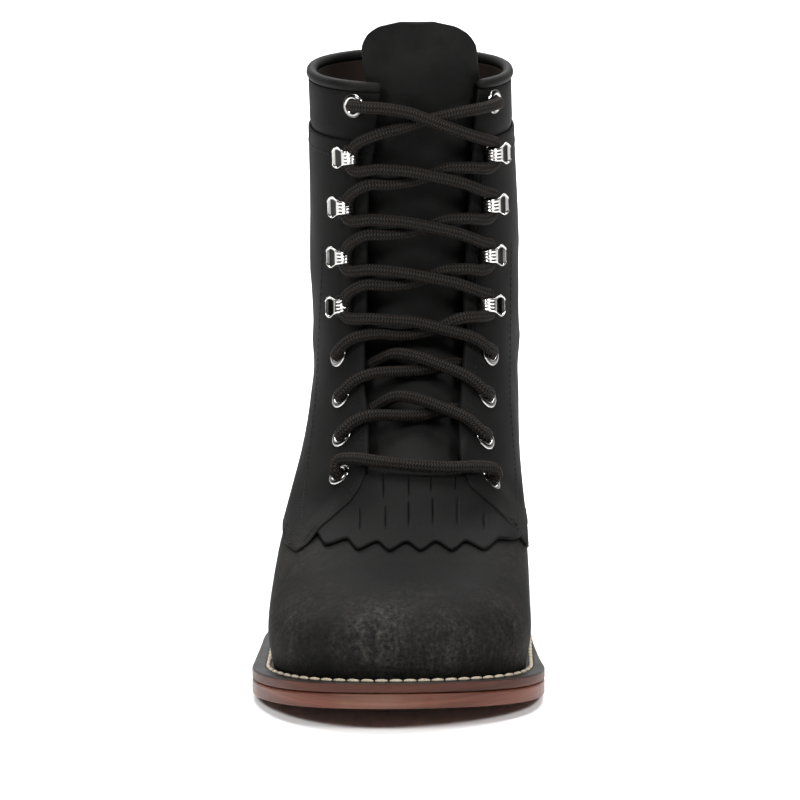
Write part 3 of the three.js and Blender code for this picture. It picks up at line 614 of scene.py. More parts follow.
def nubuck():
    """Black buffed leather, lighter and browner where the attribute says so: its nap worn lighter by brushing
    at the toe, where the patches also stand in for painted highlights, and a painted sheen on the sides.
    """
    material, tree, shader, place = finish("black_nubuck")
    cloud = noise(tree, place, 38, 3)
    speck = noise(tree, place, 620, 3, 0.7)
    dark = ramp(tree, cloud, (0.3, (0.0048, 0.0048, 0.0048)), (0.72, (0.0092, 0.009, 0.0087)))
    # Lighter, browner colour for brushing wear, which also paints sheen and highlights where the attribute
    # marks them.
    brushed_and_sheen = ramp(tree, speck, (0.35, (0.008, 0.0076, 0.0071)), (0.68, (0.058, 0.0535, 0.048)))
    streak = noise(tree, stretched(tree, place, (1.0, 1.0, 0.35)), 240, 5, 0.7)
    patchy = ramp(tree, streak, (0.38, 0.25), (0.66, 1.0))
    share = sum_up(tree, "MULTIPLY", worn_and_painted_light_share(tree), patchy)
    tree.links.new(blend(tree, share, dark, brushed_and_sheen), shader.inputs["Base Color"])
    tree.links.new(ramp(tree, cloud, (0.3, 0.56), (0.75, 0.72)), shader.inputs["Roughness"])
    shader.inputs["Specular IOR Level"].default_value = 0.03
    grain = pebbles(tree, place, 820)
    bumps(tree, shader, (cloud, 0.35, 0.5), (grain, 0.22, 0.1), (speck, 0.3, 0.12))
    return material


def plain_leather(name, low, high, rough, specular):
    material, tree, shader, place = finish(name)
    cloud = noise(tree, place, 60, 4)
    grain = pebbles(tree, place, 900)
    tree.links.new(spread(tree, cloud, low, high), shader.inputs["Base Color"])
    tree.links.new(spread(tree, cloud, rough[0], rough[1]), shader.inputs["Roughness"])
    shader.inputs["Specular IOR Level"].default_value = specular
    bumps(tree, shader, (grain, 0.3, 0.12), (noise(tree, place, 700), 0.2, 0.08))
    return material


def sole_edge():
    """Mahogany sole leather: layers that run along the edge, greyer and paler in patches."""
    material, tree, shader, place = finish("mahogany_sole")
    layers = noise(tree, stretched(tree, place, (12, 12, 420)), 1.0, 6, 0.65)
    cloud = noise(tree, place, 26, 4)
    red = spread(tree, layers, (0.05, 0.0145, 0.0085), (0.15, 0.05, 0.029))
    grey = spread(tree, layers, (0.075, 0.034, 0.023), (0.17, 0.09, 0.064))
    share = ramp(tree, cloud, (0.5, 0.0), (0.72, 1.0))
    tree.links.new(blend(tree, share, red, grey), shader.inputs["Base Color"])
    tree.links.new(spread(tree, cloud, 0.34, 0.52), shader.inputs["Roughness"])
    shader.inputs["Specular IOR Level"].default_value = 0.22
    bumps(tree, shader, (layers, 0.35, 0.25), (noise(tree, place, 600), 0.2, 0.1))
    return material


def welt_leather():
    """Black on top and dark mahogany at the cut edge, where the attribute says so."""
    material, tree, shader, place = finish("dark_welt")
    layers = noise(tree, stretched(tree, place, (14, 14, 300)), 1.0, 5, 0.6)
    cloud = noise(tree, place, 45, 4)
    top = spread(tree, cloud, (0.0045, 0.0042, 0.004), (0.011, 0.0098, 0.009))
    edge = spread(tree, layers, (0.026, 0.0088, 0.006), (0.085, 0.029, 0.0185))
    tree.links.new(blend(tree, worn_and_painted_light_share(tree), top, edge), shader.inputs["Base Color"])
    tree.links.new(spread(tree, cloud, 0.38, 0.55), shader.inputs["Roughness"])
    shader.inputs["Specular IOR Level"].default_value = 0.16
    bumps(tree, shader, (layers, 0.3, 0.2), (noise(tree, place, 700), 0.2, 0.1))
    return material


def heel_rubber():
    material, tree, shader, place = finish("black_rubber")
    cloud = noise(tree, place, 90, 5)
    tree.links.new(spread(tree, cloud, 0.008, 0.016), shader.inputs["Base Color"])
    tree.links.new(spread(tree, cloud, 0.55, 0.75), shader.inputs["Roughness"])
    bumps(tree, shader, (noise(tree, place, 800), 0.3, 0.1))
    return material


def nickel_plate():
    material, tree, shader, place = finish("polished_nickel")
    cloud = noise(tree, place, 300, 3)
    bright = spread(tree, cloud, (0.5, 0.49, 0.475), (0.62, 0.61, 0.595))
    # Near-black colour for the flat faces of flanges and wings, a painted dark reflection, where the
    # attribute says so.
    painted_dark_reflection = spread(tree, cloud, (0.022, 0.022, 0.022), (0.04, 0.04, 0.039))
    tree.links.new(blend(tree, worn_and_painted_light_share(tree), bright, painted_dark_reflection), shader.inputs["Base Color"])
    tree.links.new(spread(tree, cloud, 0.14, 0.24), shader.inputs["Roughness"])
    shader.inputs["Metallic"].default_value = 1.0
    bumps(tree, shader, (cloud, 0.06, 0.1))
    return material


LACE_RIBS = 8
BEAD_PITCH = 1.15


def braid(length):
    """Round braid: slanting beads on each lengthwise rib, from the piece's own map, round it and along it."""
    material, tree, shader, place = finish("black_braid")
    split = tree.nodes.new("ShaderNodeSeparateXYZ")
    tree.links.new(tree.nodes["Texture Coordinate"].outputs["UV"], split.inputs[0])
    round_it = sum_up(tree, "MULTIPLY", split.outputs["X"], float(LACE_RIBS))
    slant = sum_up(tree, "ABSOLUTE", sum_up(tree, "SUBTRACT", sum_up(tree, "FRACT", round_it, 0.0), 0.5), 0.0)
    along = sum_up(tree, "MULTIPLY", split.outputs["Y"], length / BEAD_PITCH)
    bead = sum_up(tree, "FRACT", sum_up(tree, "ADD", along, sum_up(tree, "MULTIPLY", slant, 1.2)), 0.0)
    hump = sum_up(tree, "SINE", sum_up(tree, "MULTIPLY", bead, math.pi), 0.0)
    rib = sum_up(tree, "SUBTRACT", 1.0, sum_up(tree, "MULTIPLY", slant, 1.3))
    height = sum_up(tree, "MULTIPLY", hump, rib)
    fuzz = noise(tree, place, 1500, 3)
    # The colour follows the beads' height: painted shade in the grooves and a painted highlight on the beads'
    # tops.
    colour = ramp(tree, height, (0.1, (0.0016, 0.0014, 0.0013)), (0.75, (0.023, 0.0198, 0.0172)))
    tree.links.new(colour, shader.inputs["Base Color"])
    shader.inputs["Roughness"].default_value = 0.72
    shader.inputs["Specular IOR Level"].default_value = 0.06
    bumps(tree, shader, (height, 0.9, 0.5), (fuzz, 0.3, 0.08))
    return material


def thread(name, low, high):
    material, tree, shader, place = finish(name)
    twist = noise(tree, place, 1400, 3)
    tree.links.new(spread(tree, twist, low, high), shader.inputs["Base Color"])
    shader.inputs["Roughness"].default_value = 0.6
    shader.inputs["Specular IOR Level"].default_value = 0.1
    bumps(tree, shader, (twist, 0.5, 0.12))
    return material


BLACK = nubuck()
SMOOTH_BLACK = plain_leather(
    "black_leather", (0.0055, 0.0055, 0.0054), (0.0105, 0.0103, 0.01), (0.5, 0.66), 0.04
)
LINING = plain_leather("brown_lining", (0.011, 0.007, 0.0052), (0.019, 0.0125, 0.0095), (0.6, 0.8), 0.2)
WELT = welt_leather()
INSOLE = plain_leather("tan_insole", (0.17, 0.10, 0.06), (0.26, 0.165, 0.10), (0.55, 0.75), 0.3)
MAHOGANY = sole_edge()
RUBBER = heel_rubber()
NICKEL = nickel_plate()
CREAM_THREAD = thread("cream_thread", (0.3, 0.25, 0.18), (0.56, 0.49, 0.38))
BLACK_THREAD = thread("black_thread", (0.0012, 0.0012, 0.0012), (0.004, 0.004, 0.004))


# Upper

def quarter_foot(turn):
    """Climb of the quarters' lowest leather at a turn."""
    turn = np.asarray(turn, float)
    foot = np.zeros(turn.shape)
    for side in (-1, 1):
        edge = np.abs(EDGE_TURNS[side])
        narrow = int(np.argmin(edge))
        reach = np.interp(-np.abs(turn), -edge[: narrow + 1], EDGE_CLIMBS[: narrow + 1])
        foot = np.where(np.sign(turn + 1e-9) == side, np.maximum(reach, lower_climb(side, turn)), foot)
    return foot


VAMP_TUCK = 0.02
LINING_SKIN = 0.9
TUCK_CLEAR = 0.02
TURNS = np.linspace(-1, 1, 721)
VAMP_TOPS = np.minimum(quarter_foot(TURNS), climb_at_height(TURNS, THROAT_BOTTOM)) + VAMP_TUCK
THROAT_CLIMB = float(climb_at_height(0.0, THROAT_BOTTOM))


def vamp_top(turn):
    return np.interp(wrap(turn), TURNS, VAMP_TOPS)


def mark_worn_and_painted_light(piece, share_at):
    """Lays the attribute that the finishes read, from places in millimetres: wear and cut edges, and painted
    sheen, highlights and dark reflections.
    """
    places = np.empty(len(piece.data.vertices) * 3)
    piece.data.vertices.foreach_get("co", places)
    worn_and_painted_light = piece.data.attributes.new("worn_and_painted_light", "FLOAT", "POINT")
    worn_and_painted_light.data.foreach_set("value", np.clip(share_at(places.reshape(-1, 3) / MM), 0, 1))


# Places of brushing wear at the toe and of painted sheen on the sides: x, y and z, radius, strength
BRUSHED_AND_SHEEN = [
    (-12, -249, 32, 16, 0.9),
    (13, -249, 28, 16, 0.75),
    (-43, -226, 28, 20, 0.5),
    (40, -226, 28, 20, 0.5),
    (2, -236, 44, 15, 0.25),
    # These two paint a sheen on the sides.
    (-50, -180, 34, 26, 0.45),
    (48, -175, 34, 26, 0.4),
]


def brushed_and_sheen_share(points):
    share = np.zeros(len(points))
    for x, y, z, radius, strength in BRUSHED_AND_SHEEN:
        away = np.linalg.norm(points - [x, y, z], axis=1)
        share = np.maximum(share, strength * bell(away, 0, radius))
    return share


def make_vamp():
    columns = np.linspace(-1, 1, 361)
    shares = edge_shares(42, 80, 0.5)
    turn = np.broadcast_to(columns, (len(shares), len(columns)))
    climb = shares[:, None] * vamp_top(columns)[None]
    piece = panel("vamp", turn, climb, -LINING_SKIN, 0.0, 0.5, closed=True)
    mark_worn_and_painted_light(piece, brushed_and_sheen_share)
    return finish_piece(piece, BLACK, "upper_leather", "upper")


def front_edge(side):
    """The quarter's front edge: climbs spaced evenly along the leather, from its low corner to the band."""
    turns = EDGE_TURNS[side]
    over = EDGE_CLIMBS - lower_climb(side, turns)
    corner = int(np.argmax(over > 0))
    share = -over[corner - 1] / (over[corner] - over[corner - 1])
    first = lerp(EDGE_CLIMBS[corner - 1], EDGE_CLIMBS[corner], share)
    climbs = np.linspace(first, BAND_CLIMB, 600)
    run = run_lengths(skin(edge_turn(side, climbs), climbs), 0)
    return climbs, run


# How the quarters' front edges ride over the kiltie, along the edge from where to where
KILTIE_RIDE = 1.3
RIDE_WIDTH = 13.0
RIDE_START = 4.0
RIDE_END = 56.0


def kiltie_ride(at, back):
    """Rise of a quarter at a distance along its front edge and one back from it."""
    begun = ease((at - RIDE_START) / 12)
    left = ease((RIDE_END - at) / 10)
    return KILTIE_RIDE * begun * left * ease(1 - back / RIDE_WIDTH)


def quarter_grid(side, across, upwards):
    climbs, run = front_edge(side)
    front_climb = np.interp(upwards * run[-1], run, climbs)
    front_turn = edge_turn(side, front_climb)
    back_climb = lerp(float(lower_climb(side, side * 1.0)), BAND_CLIMB, upwards)
    low_turn = lerp(front_turn[0], side, across)
    low_climb = lower_climb(side, low_turn)
    top_turn = lerp(front_turn[-1], side, across)
    u = across[None]
    v = upwards[:, None]
    turn = (1 - u) * front_turn[:, None] + u * side + (1 - v) * low_turn + v * top_turn
    turn -= (1 - u) * ((1 - v) * front_turn[0] + v * front_turn[-1]) + u * side
    climb = (1 - u) * front_climb[:, None] + u * back_climb[:, None] + (1 - v) * low_climb + v * BAND_CLIMB
    climb -= (1 - v) * lerp(low_climb[0], low_climb[-1], u) + v * BAND_CLIMB
    return turn, climb, run[-1]


def make_quarter(side, name):
    across = edge_shares(112, 150, 0.7)
    upwards = edge_shares(112, 175, 0.7)
    turn, climb, length = quarter_grid(side, across, upwards)
    over_vamp = ease((climb - vamp_top(turn) - 0.004) / 0.012)
    at = upwards[:, None] * length
    ride = kiltie_ride(at, across[None] * 150)
    under_band = ease((climb - BAND_CLIMB + 0.025) / 0.01)
    low = lerp(TUCK_CLEAR, -LINING_SKIN, over_vamp * (1 - under_band)) + ride
    high = OVERLAY + ride
    piece = panel(name, turn, climb, low, high, 0.75)
    cut_out(piece, [bore(side, row) for row in EYELET_ROWS if row > 0])
    mark_worn_and_painted_light(piece, brushed_and_sheen_share)
    return finish_piece(piece, BLACK, "upper_leather", "upper")


def round_back(recess):
    """Turns from the inner facing's edge round the back to the outer one's, at climbs from the throat up."""
    def at(climb, share):
        first = edge_turn(-1, climb) - recess
        last = edge_turn(1, climb) + recess
        return wrap(lerp(first, last - 2, share))
    return at


def make_band():
    shares = edge_shares(240, 230, 0.5)
    climbs = BAND_CLIMB - 0.012 + edge_shares(14, 22, 0.4) * (1.012 - BAND_CLIMB)
    climb = np.broadcast_to(climbs[:, None], (len(climbs), len(shares)))
    turn = round_back(0.0)(climb, shares[None])
    high = lerp(-0.15, BAND_OVERLAY, ease((climb - BAND_CLIMB) / 0.008))
    low = np.full(high.shape, -LINING_SKIN)
    piece = panel("collar_band", turn, climb, low, high, 0.5)
    cut_out(piece, [bore(side, 0) for side in (-1, 1)])
    return finish_piece(piece, BLACK, "upper_leather", "upper")


def make_lining():
    columns = np.linspace(-1, 1, 181)
    rises = edge_shares(24, 90, 0.5)
    climb = np.broadcast_to(rises[:, None] * (THROAT_CLIMB + 0.001), (len(rises), len(columns)))
    turn = np.broadcast_to(columns, climb.shape)
    foot = panel("lining_foot", turn, climb, -LEATHER, -LINING_SKIN - 0.04, 0.4, closed=True)
    shares = edge_shares(150, 230, 0.5)
    rises = THROAT_CLIMB + edge_shares(46, 150, 0.5) * (1.0 - THROAT_CLIMB)
    climb = np.broadcast_to(rises[:, None], (len(rises), len(shares)))
    turn = round_back(0.012)(climb, shares[None])
    shaft = panel("lining_shaft", turn, climb, -LEATHER, -LINING_SKIN - 0.04, 0.5)
    cut_out(shaft, [bore(side, row) for side in (-1, 1) for row in EYELET_ROWS])
    return finish_piece(joined("lining", [foot, shaft]), LINING, "upper_leather", "upper")


ROLL_SINK = 0.25


def make_collar_roll():
    share = np.linspace(0, 1, 160)
    climb = np.ones(share.shape)
    first = float(edge_turn(-1, 1.0)) + 0.004
    last = float(edge_turn(1, 1.0)) - 0.004
    turn = wrap(lerp(first, last - 2, share))
    path = off_skin(turn, climb, (BAND_OVERLAY - LEATHER) / 2)
    path[:, 2] = COLLAR_HEIGHT + GAP + BINDING_RADIUS - ROLL_SINK
    piece = tube("collar_roll", through(path[::2], 0.9), BINDING_RADIUS + 0.15, 20)
    return finish_piece(piece, SMOOTH_BLACK, "upper_leather", "collar_binding")


# Tongue, below the collar and above it
TONGUE_THICKNESS = 3.0
TONGUE_RISE = 28.0
UNDER_VAMP = LEATHER + GAP
TONGUE_HEIGHTS = [0.3, 0.325, 0.345, 0.37, 0.42, 0.56, 0.64, 0.92, 1.0]
TONGUE_SINKS = [0.0, 0.0, 1.7, 5.1, 5.3, 5.3, 2.3, 2.3, 2.3]
TONGUE_HALVES = [0.18, 0.21, 0.24, 0.28, 0.32, 0.34, 0.35, 0.35, 0.32]
TOP_RISES = [0.0, 0.3, 0.62, 0.8, 0.92, 1.0]
TOP_HALVES = [0.32, 0.325, 0.325, 0.285, 0.215, 0.09]


def throat_middle(z):
    return (edge_x(-1, z) + edge_x(1, z)) / 2


def make_tongue():
    shares = 2 * edge_shares(30, 56, 1.2) - 1
    below = np.linspace(TONGUE_HEIGHTS[0], 1.0, 60)
    rise = np.concatenate([np.linspace(0, 0.8, 14)[1:], np.linspace(0.8, 1.0, 14)[1:]])
    heights = np.concatenate([below, np.ones(rise.shape)])
    lift = np.concatenate([np.zeros(below.shape), rise * TONGUE_RISE])
    top_half = smooth(np.array(TOP_HALVES), np.interp(rise, TOP_RISES, np.arange(len(TOP_RISES))))
    half = np.concatenate([np.interp(below, TONGUE_HEIGHTS, TONGUE_HALVES), top_half])
    middle = throat_middle(heights * COLLAR_HEIGHT) * (1 - 0.6 * np.sqrt(lift / TONGUE_RISE))
    x = middle[:, None] + shares[None] * half[:, None] * SHAFT_WIDTH
    z = np.broadcast_to((heights * COLLAR_HEIGHT)[:, None], x.shape)
    turn, climb = front_place(x, np.minimum(z, COLLAR_HEIGHT - 0.01))
    base = skin(turn, climb)
    normal = outward(turn, climb)
    sink = (UNDER_VAMP + np.interp(heights, TONGUE_HEIGHTS, TONGUE_SINKS))[:, None]
    slack = 0.35 * np.sin(z / 7.3 + 0.03 * x) * bell(z, 105, 30)
    base = base + normal * slack[..., None]
    base[..., 2] += lift[:, None]
    ones = np.ones(x.shape)
    piece = leather("tongue", base, normal, -(sink + TONGUE_THICKNESS) * ones, -sink * ones, 1.3)
    return finish_piece(piece, SMOOTH_BLACK, "upper_leather", "tongue")


# Kiltie
KILTIE_TUCK = 8.0
KILTIE_FALL = 17.6
KILTIE_LOW = 0.15
KILTIE_HIGH = 1.75
TEETH = 7
TOOTH_DEPTH = 1.6
KILTIE_UNDER = 3.5
SLITS = [
    (-10.3, 73.2, 65.4), (-0.6, 72.6, 66.3), (7.8, 72.4, 67.3), (17.0, 72.0, 67.2),
    (-19.1, 61.4, 55.8), (-9.5, 63.1, 56.5), (-0.7, 64.8, 57.5), (8.4, 65.5, 57.8), (17.6, 64.7, 56.7),
    (28.0, 58.2, 54.1),
]  # fmt: skip
SLIT_WIDTH = 0.32


def slit_dent(x, z):
    dent = np.zeros(x.shape)
    for at, high, low in SLITS:
        inside = ease((z - low + 0.3) / 1.2) * ease((high + 0.3 - z) / 1.2)
        dent = np.maximum(dent, inside * bell(x, at, 0.42))
    return dent


def make_kiltie():
    shares = np.linspace(-1, 1, 211)
    place = (shares + 1) / 2 * TEETH
    wave = np.arcsin(0.8 * np.cos(2 * math.pi * (place - 0.24))) / math.asin(0.8)
    low = THROAT_BOTTOM - KILTIE_FALL - np.where(shares < 0, 1, 4) * shares**2 + TOOTH_DEPTH / 2 * wave
    rise = edge_shares(38, 16, 0.7)
    z = lerp(low[None], THROAT_BOTTOM, rise[:, None])
    beyond = np.linspace(0, 1, 14)[1:]
    above = THROAT_BOTTOM + beyond[:, None] * KILTIE_TUCK * np.ones(shares.shape)
    z = np.concatenate([z, above])
    dive = np.concatenate([np.zeros(rise.shape), np.interp(beyond, [0, 0.1, 0.55, 1], [0, 0, 2.6, 4.2])])
    clear_above = np.interp(beyond, [0, 0.3], [-KILTIE_UNDER, 2.5])
    clear = np.concatenate([np.full(rise.shape, -KILTIE_UNDER), clear_above])
    left = edge_x(-1, z) + clear[:, None]
    right = edge_x(1, z) - clear[:, None]
    x = lerp(left, right, (shares[None] + 1) / 2)
    turn, climb = front_place(x, z)
    dent = 0.35 * slit_dent(x, z)
    side = ease((np.abs(shares) - 0.9) / 0.1)[None]
    high = lerp(KILTIE_HIGH, TUCK_CLEAR + KILTIE_RIDE - 0.05, side) - dive[:, None] - dent
    lowest = KILTIE_LOW - dive[:, None] * np.ones(x.shape)
    piece = panel("kiltie", turn, climb, lowest, high, 0.7)
    cut_out(piece, [slit(*row) for row in SLITS])
    return finish_piece(piece, BLACK, "upper_leather", "kiltie")


def slit(x, high, low):
    """A thin blade through the kiltie."""
    z = (high + low) / 2
    normal = outward(*front_place(x, z))
    rise = front_point(x, high, 0.9) - front_point(x, low, 0.9)
    length = np.linalg.norm(rise)
    up = rise / length
    across = unit(np.cross(up, normal))
    clear_selection()
    bpy.ops.mesh.primitive_cylinder_add(vertices=12, radius=1, depth=1)
    blade = bpy.context.object
    axes = np.array([across * SLIT_WIDTH / 2, up * length / 2, np.cross(across, up) * 6]) * MM
    cutter = moved_copy(blade, "slit", axes, front_point(x, z, 0.9))
    drop(blade)
    return cutter


# Fittings
HOOK_ROWS = (1, 2, 3, 4)
EYELET_ROWS = (0, 5, 6, 7, 8)
INSET_HEIGHTS = [0.3, 0.38, 0.5, 0.6, 1.0]
INSETS = [14.0, 16.6, 15.2, 11.8, 10.6]
SEAT_CLEAR = 0.25
HOOK_NEARER = 3.1


def inset_places(side, nearer=0.0):
    """Turn, climb and point of the fittings' line down a facing, for heights 0.25 mm apart."""
    z = np.arange(COLLAR_HEIGHT - TOP_FITTING_DROP, 55, -0.25)
    inset = np.interp(z / COLLAR_HEIGHT, INSET_HEIGHTS, INSETS) - nearer
    turn, climb = front_place(edge_x(side, z), z)
    turns = turn[:, None] + side * np.arange(0, 0.2, 0.002)
    run = run_lengths(skin(turns, climb[:, None]), 1)
    turn = np.array([np.interp(inset[i], run[i], turns[i]) for i in range(len(z))])
    return turn, climb, skin(turn, climb)


def fitting_places(side):
    places = inset_places(side)
    point = places[2]
    chosen = [0]
    walked = 0.0
    for i in range(1, len(point)):
        walked += np.linalg.norm(point[i] - point[i - 1])
        if walked >= FITTING_PITCH:
            chosen.append(i)
            walked = 0.0
    near = inset_places(side, HOOK_NEARER)
    lines = [near if row in HOOK_ROWS else places for row in range(9)]
    return [tuple(part[i] for part in line) for line, i in zip(lines, chosen)]


FITTINGS = {side: fitting_places(side) for side in (-1, 1)}


def fitting_frame(side, row):
    """Axes away from the throat, up the facing and out of the leather, and the skin's point."""
    turn, climb, point = FITTINGS[side][row]
    normal = outward(np.array(turn), np.array(climb))
    up = skin(turn, climb + 0.005) - skin(turn, climb - 0.005)
    away = unit(np.cross(up, normal)) * side
    return np.array([away, np.cross(normal, away), normal]), point


def in_frame(side, row, *places):
    """Places given as away, up and out, at a fitting."""
    axes, point = fitting_frame(side, row)
    return [point + np.array(place) @ axes for place in places]


def leather_at(row):
    return BAND_OVERLAY if row == 0 else OVERLAY


BORE_CUT = 3.25


def bore(side, row):
    axes, point = fitting_frame(side, row)
    clear_selection()
    bpy.ops.mesh.primitive_cylinder_add(vertices=36, radius=BORE_CUT * MM, depth=14 * MM)
    pin = bpy.context.object
    cutter = moved_copy(pin, "bore", axes, point)
    drop(pin)
    return cutter


# Eyelet section: radius and rise
EYELET_SECTION = np.array([
    [2.5, -3.3], [2.5, -0.4], [2.56, 0.3], [2.75, 0.75], [3.1, 1.03], [3.55, 1.1], [4.05, 0.98], [4.55, 0.68],
    [4.88, 0.32], [5.0, 0.05], [4.9, -0.12], [3.1, -0.1], [3.1, -3.3], [2.5, -3.3],
])  # fmt: skip


def make_eyelets():
    angle = np.linspace(0, 2 * math.pi, 49)
    radius = EYELET_SECTION[:, 0][:, None]
    rise = np.broadcast_to(EYELET_SECTION[:, 1][:, None], (len(EYELET_SECTION), len(angle)))
    section = np.stack([radius * np.cos(angle), radius * np.sin(angle), rise], axis=-1)
    pattern = mend(laid_grid("eyelet", section))

    # Marks the flange's outer slope for the painted dark reflection.
    def painted_dark_reflection(places):
        out = np.hypot(places[:, 0], places[:, 1])
        return 0.9 * ease((out - 3.75) / 0.25) * ease((4.85 - out) / 0.2)

    mark_worn_and_painted_light(pattern, painted_dark_reflection)
    for side, word in ((-1, "inner"), (1, "outer")):
        for row in EYELET_ROWS:
            axes, point = fitting_frame(side, row)
            seated = point + axes[2] * (leather_at(row) + SEAT_CLEAR)
            piece = moved_copy(pattern, f"ring_{word}_{row}", axes, seated)
            finish_piece(piece, NICKEL, "nickel", f"eyelet_{word}_{row}")
    drop(pattern)


# Hook strip: away from the throat, rise off the leather, half width
HOOK_STRIP = np.array([
    [4.6, 0.4, 2.4], [4.2, 0.4, 3.0], [3.2, 0.4, 3.3], [-1.4, 0.4, 3.0], [-2.5, 0.75, 2.8],
    [-3.1, 1.7, 2.7], [-3.3, 2.9, 2.65], [-3.1, 4.1, 2.65], [-2.4, 5.1, 2.65], [-1.0, 5.7, 2.7],
    [0.6, 5.7, 2.8], [1.5, 5.5, 3.1], [2.6, 5.35, 3.75], [3.8, 5.35, 4.35], [4.8, 5.5, 4.3],
    [5.5, 5.75, 3.6], [6.0, 6.0, 2.4],
])  # fmt: skip
HOOK_GAUGE = 0.85
HOOK_RIBS = 4


def make_hooks():
    run = run_lengths(HOOK_STRIP[:, :2], 0)
    at = np.linspace(0, run[-1], 80)
    place = np.interp(at, run, np.arange(len(run)))
    strip = np.stack([smooth(column, place) for column in HOOK_STRIP.T], axis=-1)
    along = unit(np.gradient(strip[:, :2], axis=0))
    width = 2 * edge_shares(25, 7, 0.42) - 1
    base = np.stack([
        np.broadcast_to(strip[:, 0][:, None], (len(at), len(width))),
        width[None] * strip[:, 2][:, None],
        np.broadcast_to(strip[:, 1][:, None], (len(at), len(width))),
    ], axis=-1)
    normal = np.zeros(base.shape)
    normal[..., 0] = along[:, 1][:, None]
    normal[..., 2] = -along[:, 0][:, None]
    neck = ease((strip[:, 1] - 1.2) / 1.2) * ease((0.2 - strip[:, 0]) / 0.6)
    ribs = 0.34 * neck[:, None] * np.cos(width[None] * math.pi * HOOK_RIBS / 2) ** 2
    rim = 0.35 * ease((strip[:, 0] - 4.9) / 0.9)[:, None] * (strip[:, 1] > 3)[:, None]
    wing = (ease((strip[:, 0] - 1.4) / 1.2) * (strip[:, 1] > 3))[:, None]
    edge = wing * 0.35 * ease((np.abs(width)[None] - 0.78) / 0.16)
    low = np.full(base.shape[:2], -HOOK_GAUGE / 2)
    high = HOOK_GAUGE / 2 - ribs
    base[..., 2] += rim + edge
    pattern = leather("hook", base, -normal, low, high, 0.4)

    # Marks the wing's flat face for the painted dark reflection.
    def painted_dark_reflection(places):
        half = np.interp(places[:, 0], [1.5, 2.6, 3.8, 4.8, 5.5], [2.6, 3.1, 3.6, 3.5, 2.9])
        along = ease((places[:, 0] - 1.5) / 0.5) * ease((5.0 - places[:, 0]) / 0.4)
        return along * ease((half - np.abs(places[:, 1])) / 0.3) * (places[:, 2] > 3)

    mark_worn_and_painted_light(pattern, painted_dark_reflection)
    for side, word in ((-1, "inner"), (1, "outer")):
        for row in HOOK_ROWS:
            axes, point = fitting_frame(side, row)
            seated = point + axes[2] * (leather_at(row) + SEAT_CLEAR)
            piece = moved_copy(pattern, f"speed_hook_{word}_{row}", axes, seated)
            finish_piece(piece, NICKEL, "nickel", f"hook_{word}_{row}")
    drop(pattern)


# Lace
OVER = OVERLAY + 0.65 + LACE_RADIUS + 0.5
UNDER = -4.85
# A strand from its high end to its low end: share across, share of the drop, lift off the skin. At each
# crossing the strand that starts on the inner side lies over the other.
TOP_OVER = [
    (0.12, -0.02, 4.4), (0.25, 0.0, 3.4), (0.43, 0.1, 2.0), (0.6, 0.28, 2.0), (0.84, 0.56, 4.2),
    (0.95, 0.7, OVER), (1.0, 0.78, OVER),
]  # fmt: skip
TOP_UNDER = [
    (0.1, 0.04, 4.2), (0.25, 0.1, 2.4), (0.4, 0.2, -0.6), (0.52, 0.28, -1.8), (0.66, 0.4, 0.0),
    (0.83, 0.52, 4.2), (0.96, 0.76, OVER),
]  # fmt: skip
HOOK_OVER = [
    (0.03, 0.24, OVER), (0.2, 0.2, 4.4), (0.4, 0.24, 2.6), (0.58, 0.33, 2.2), (0.8, 0.5, 4.2),
    (0.94, 0.7, OVER), (1.0, 0.78, OVER),
]  # fmt: skip
HOOK_UNDER = [
    (0.04, 0.25, OVER), (0.17, 0.2, 4.2), (0.3, 0.22, 0.6), (0.42, 0.36, -2.0), (0.56, 0.46, -1.6),
    (0.7, 0.5, 1.0), (0.85, 0.52, 4.2), (0.96, 0.76, OVER),
]  # fmt: skip
ANKLE_OVER = [
    (0.03, 0.2, OVER), (0.2, 0.2, 4.6), (0.48, 0.22, 1.6), (0.66, 0.37, 2.0), (0.86, 0.65, 4.6),
    (0.94, 0.86, 4.4),
]  # fmt: skip
ANKLE_UNDER = [
    (0.02, 0.2, OVER), (0.18, 0.2, 4.2), (0.35, 0.34, -2.4), (0.56, 0.43, -2.4), (0.74, 0.47, 1.0),
    (0.88, 0.66, 4.4), (0.95, 0.88, 4.4),
]  # fmt: skip
INSTEP_OVER = [
    (0.1, 0.1, UNDER), (0.21, -0.13, UNDER), (0.37, -0.31, -1.8), (0.52, -0.2, 0.4), (0.66, 0.02, 1.4),
    (0.85, 0.5, 4.2), (0.94, 0.86, 4.4),
]  # fmt: skip
INSTEP_UNDER = [
    (0.1, 0.05, UNDER), (0.24, -0.06, UNDER), (0.4, 0.03, -4.2), (0.58, 0.11, -3.2), (0.7, 0.22, -0.6),
    (0.8, 0.4, 2.8), (0.88, 0.62, 4.4), (0.95, 0.9, 4.4),
]  # fmt: skip
BAR = [
    (0.03, 2.4, OVER + 1.2), (0.12, 4.6, OVER + 0.7), (0.3, 5.2, OVER + 0.4), (0.5, 5.0, OVER + 0.4),
    (0.7, 4.6, OVER + 0.4), (0.88, 4.0, OVER + 0.7), (0.97, 2.2, OVER + 1.2),
]  # fmt: skip
STRANDS = {
    -1: [TOP_OVER] + 3 * [HOOK_OVER] + [ANKLE_OVER] + 2 * [INSTEP_OVER],
    1: [TOP_UNDER] + 3 * [HOOK_UNDER] + [ANKLE_UNDER] + 2 * [INSTEP_UNDER],
}


def strand(row, from_side):
    start = FITTINGS[from_side][row][2]
    end = FITTINGS[-from_side][row + 1][2]
    across, fall, lift = np.array(STRANDS[from_side][row]).T
    return list(front_point(lerp(start[0], end[0], across), lerp(start[2], end[2], fall), lift))


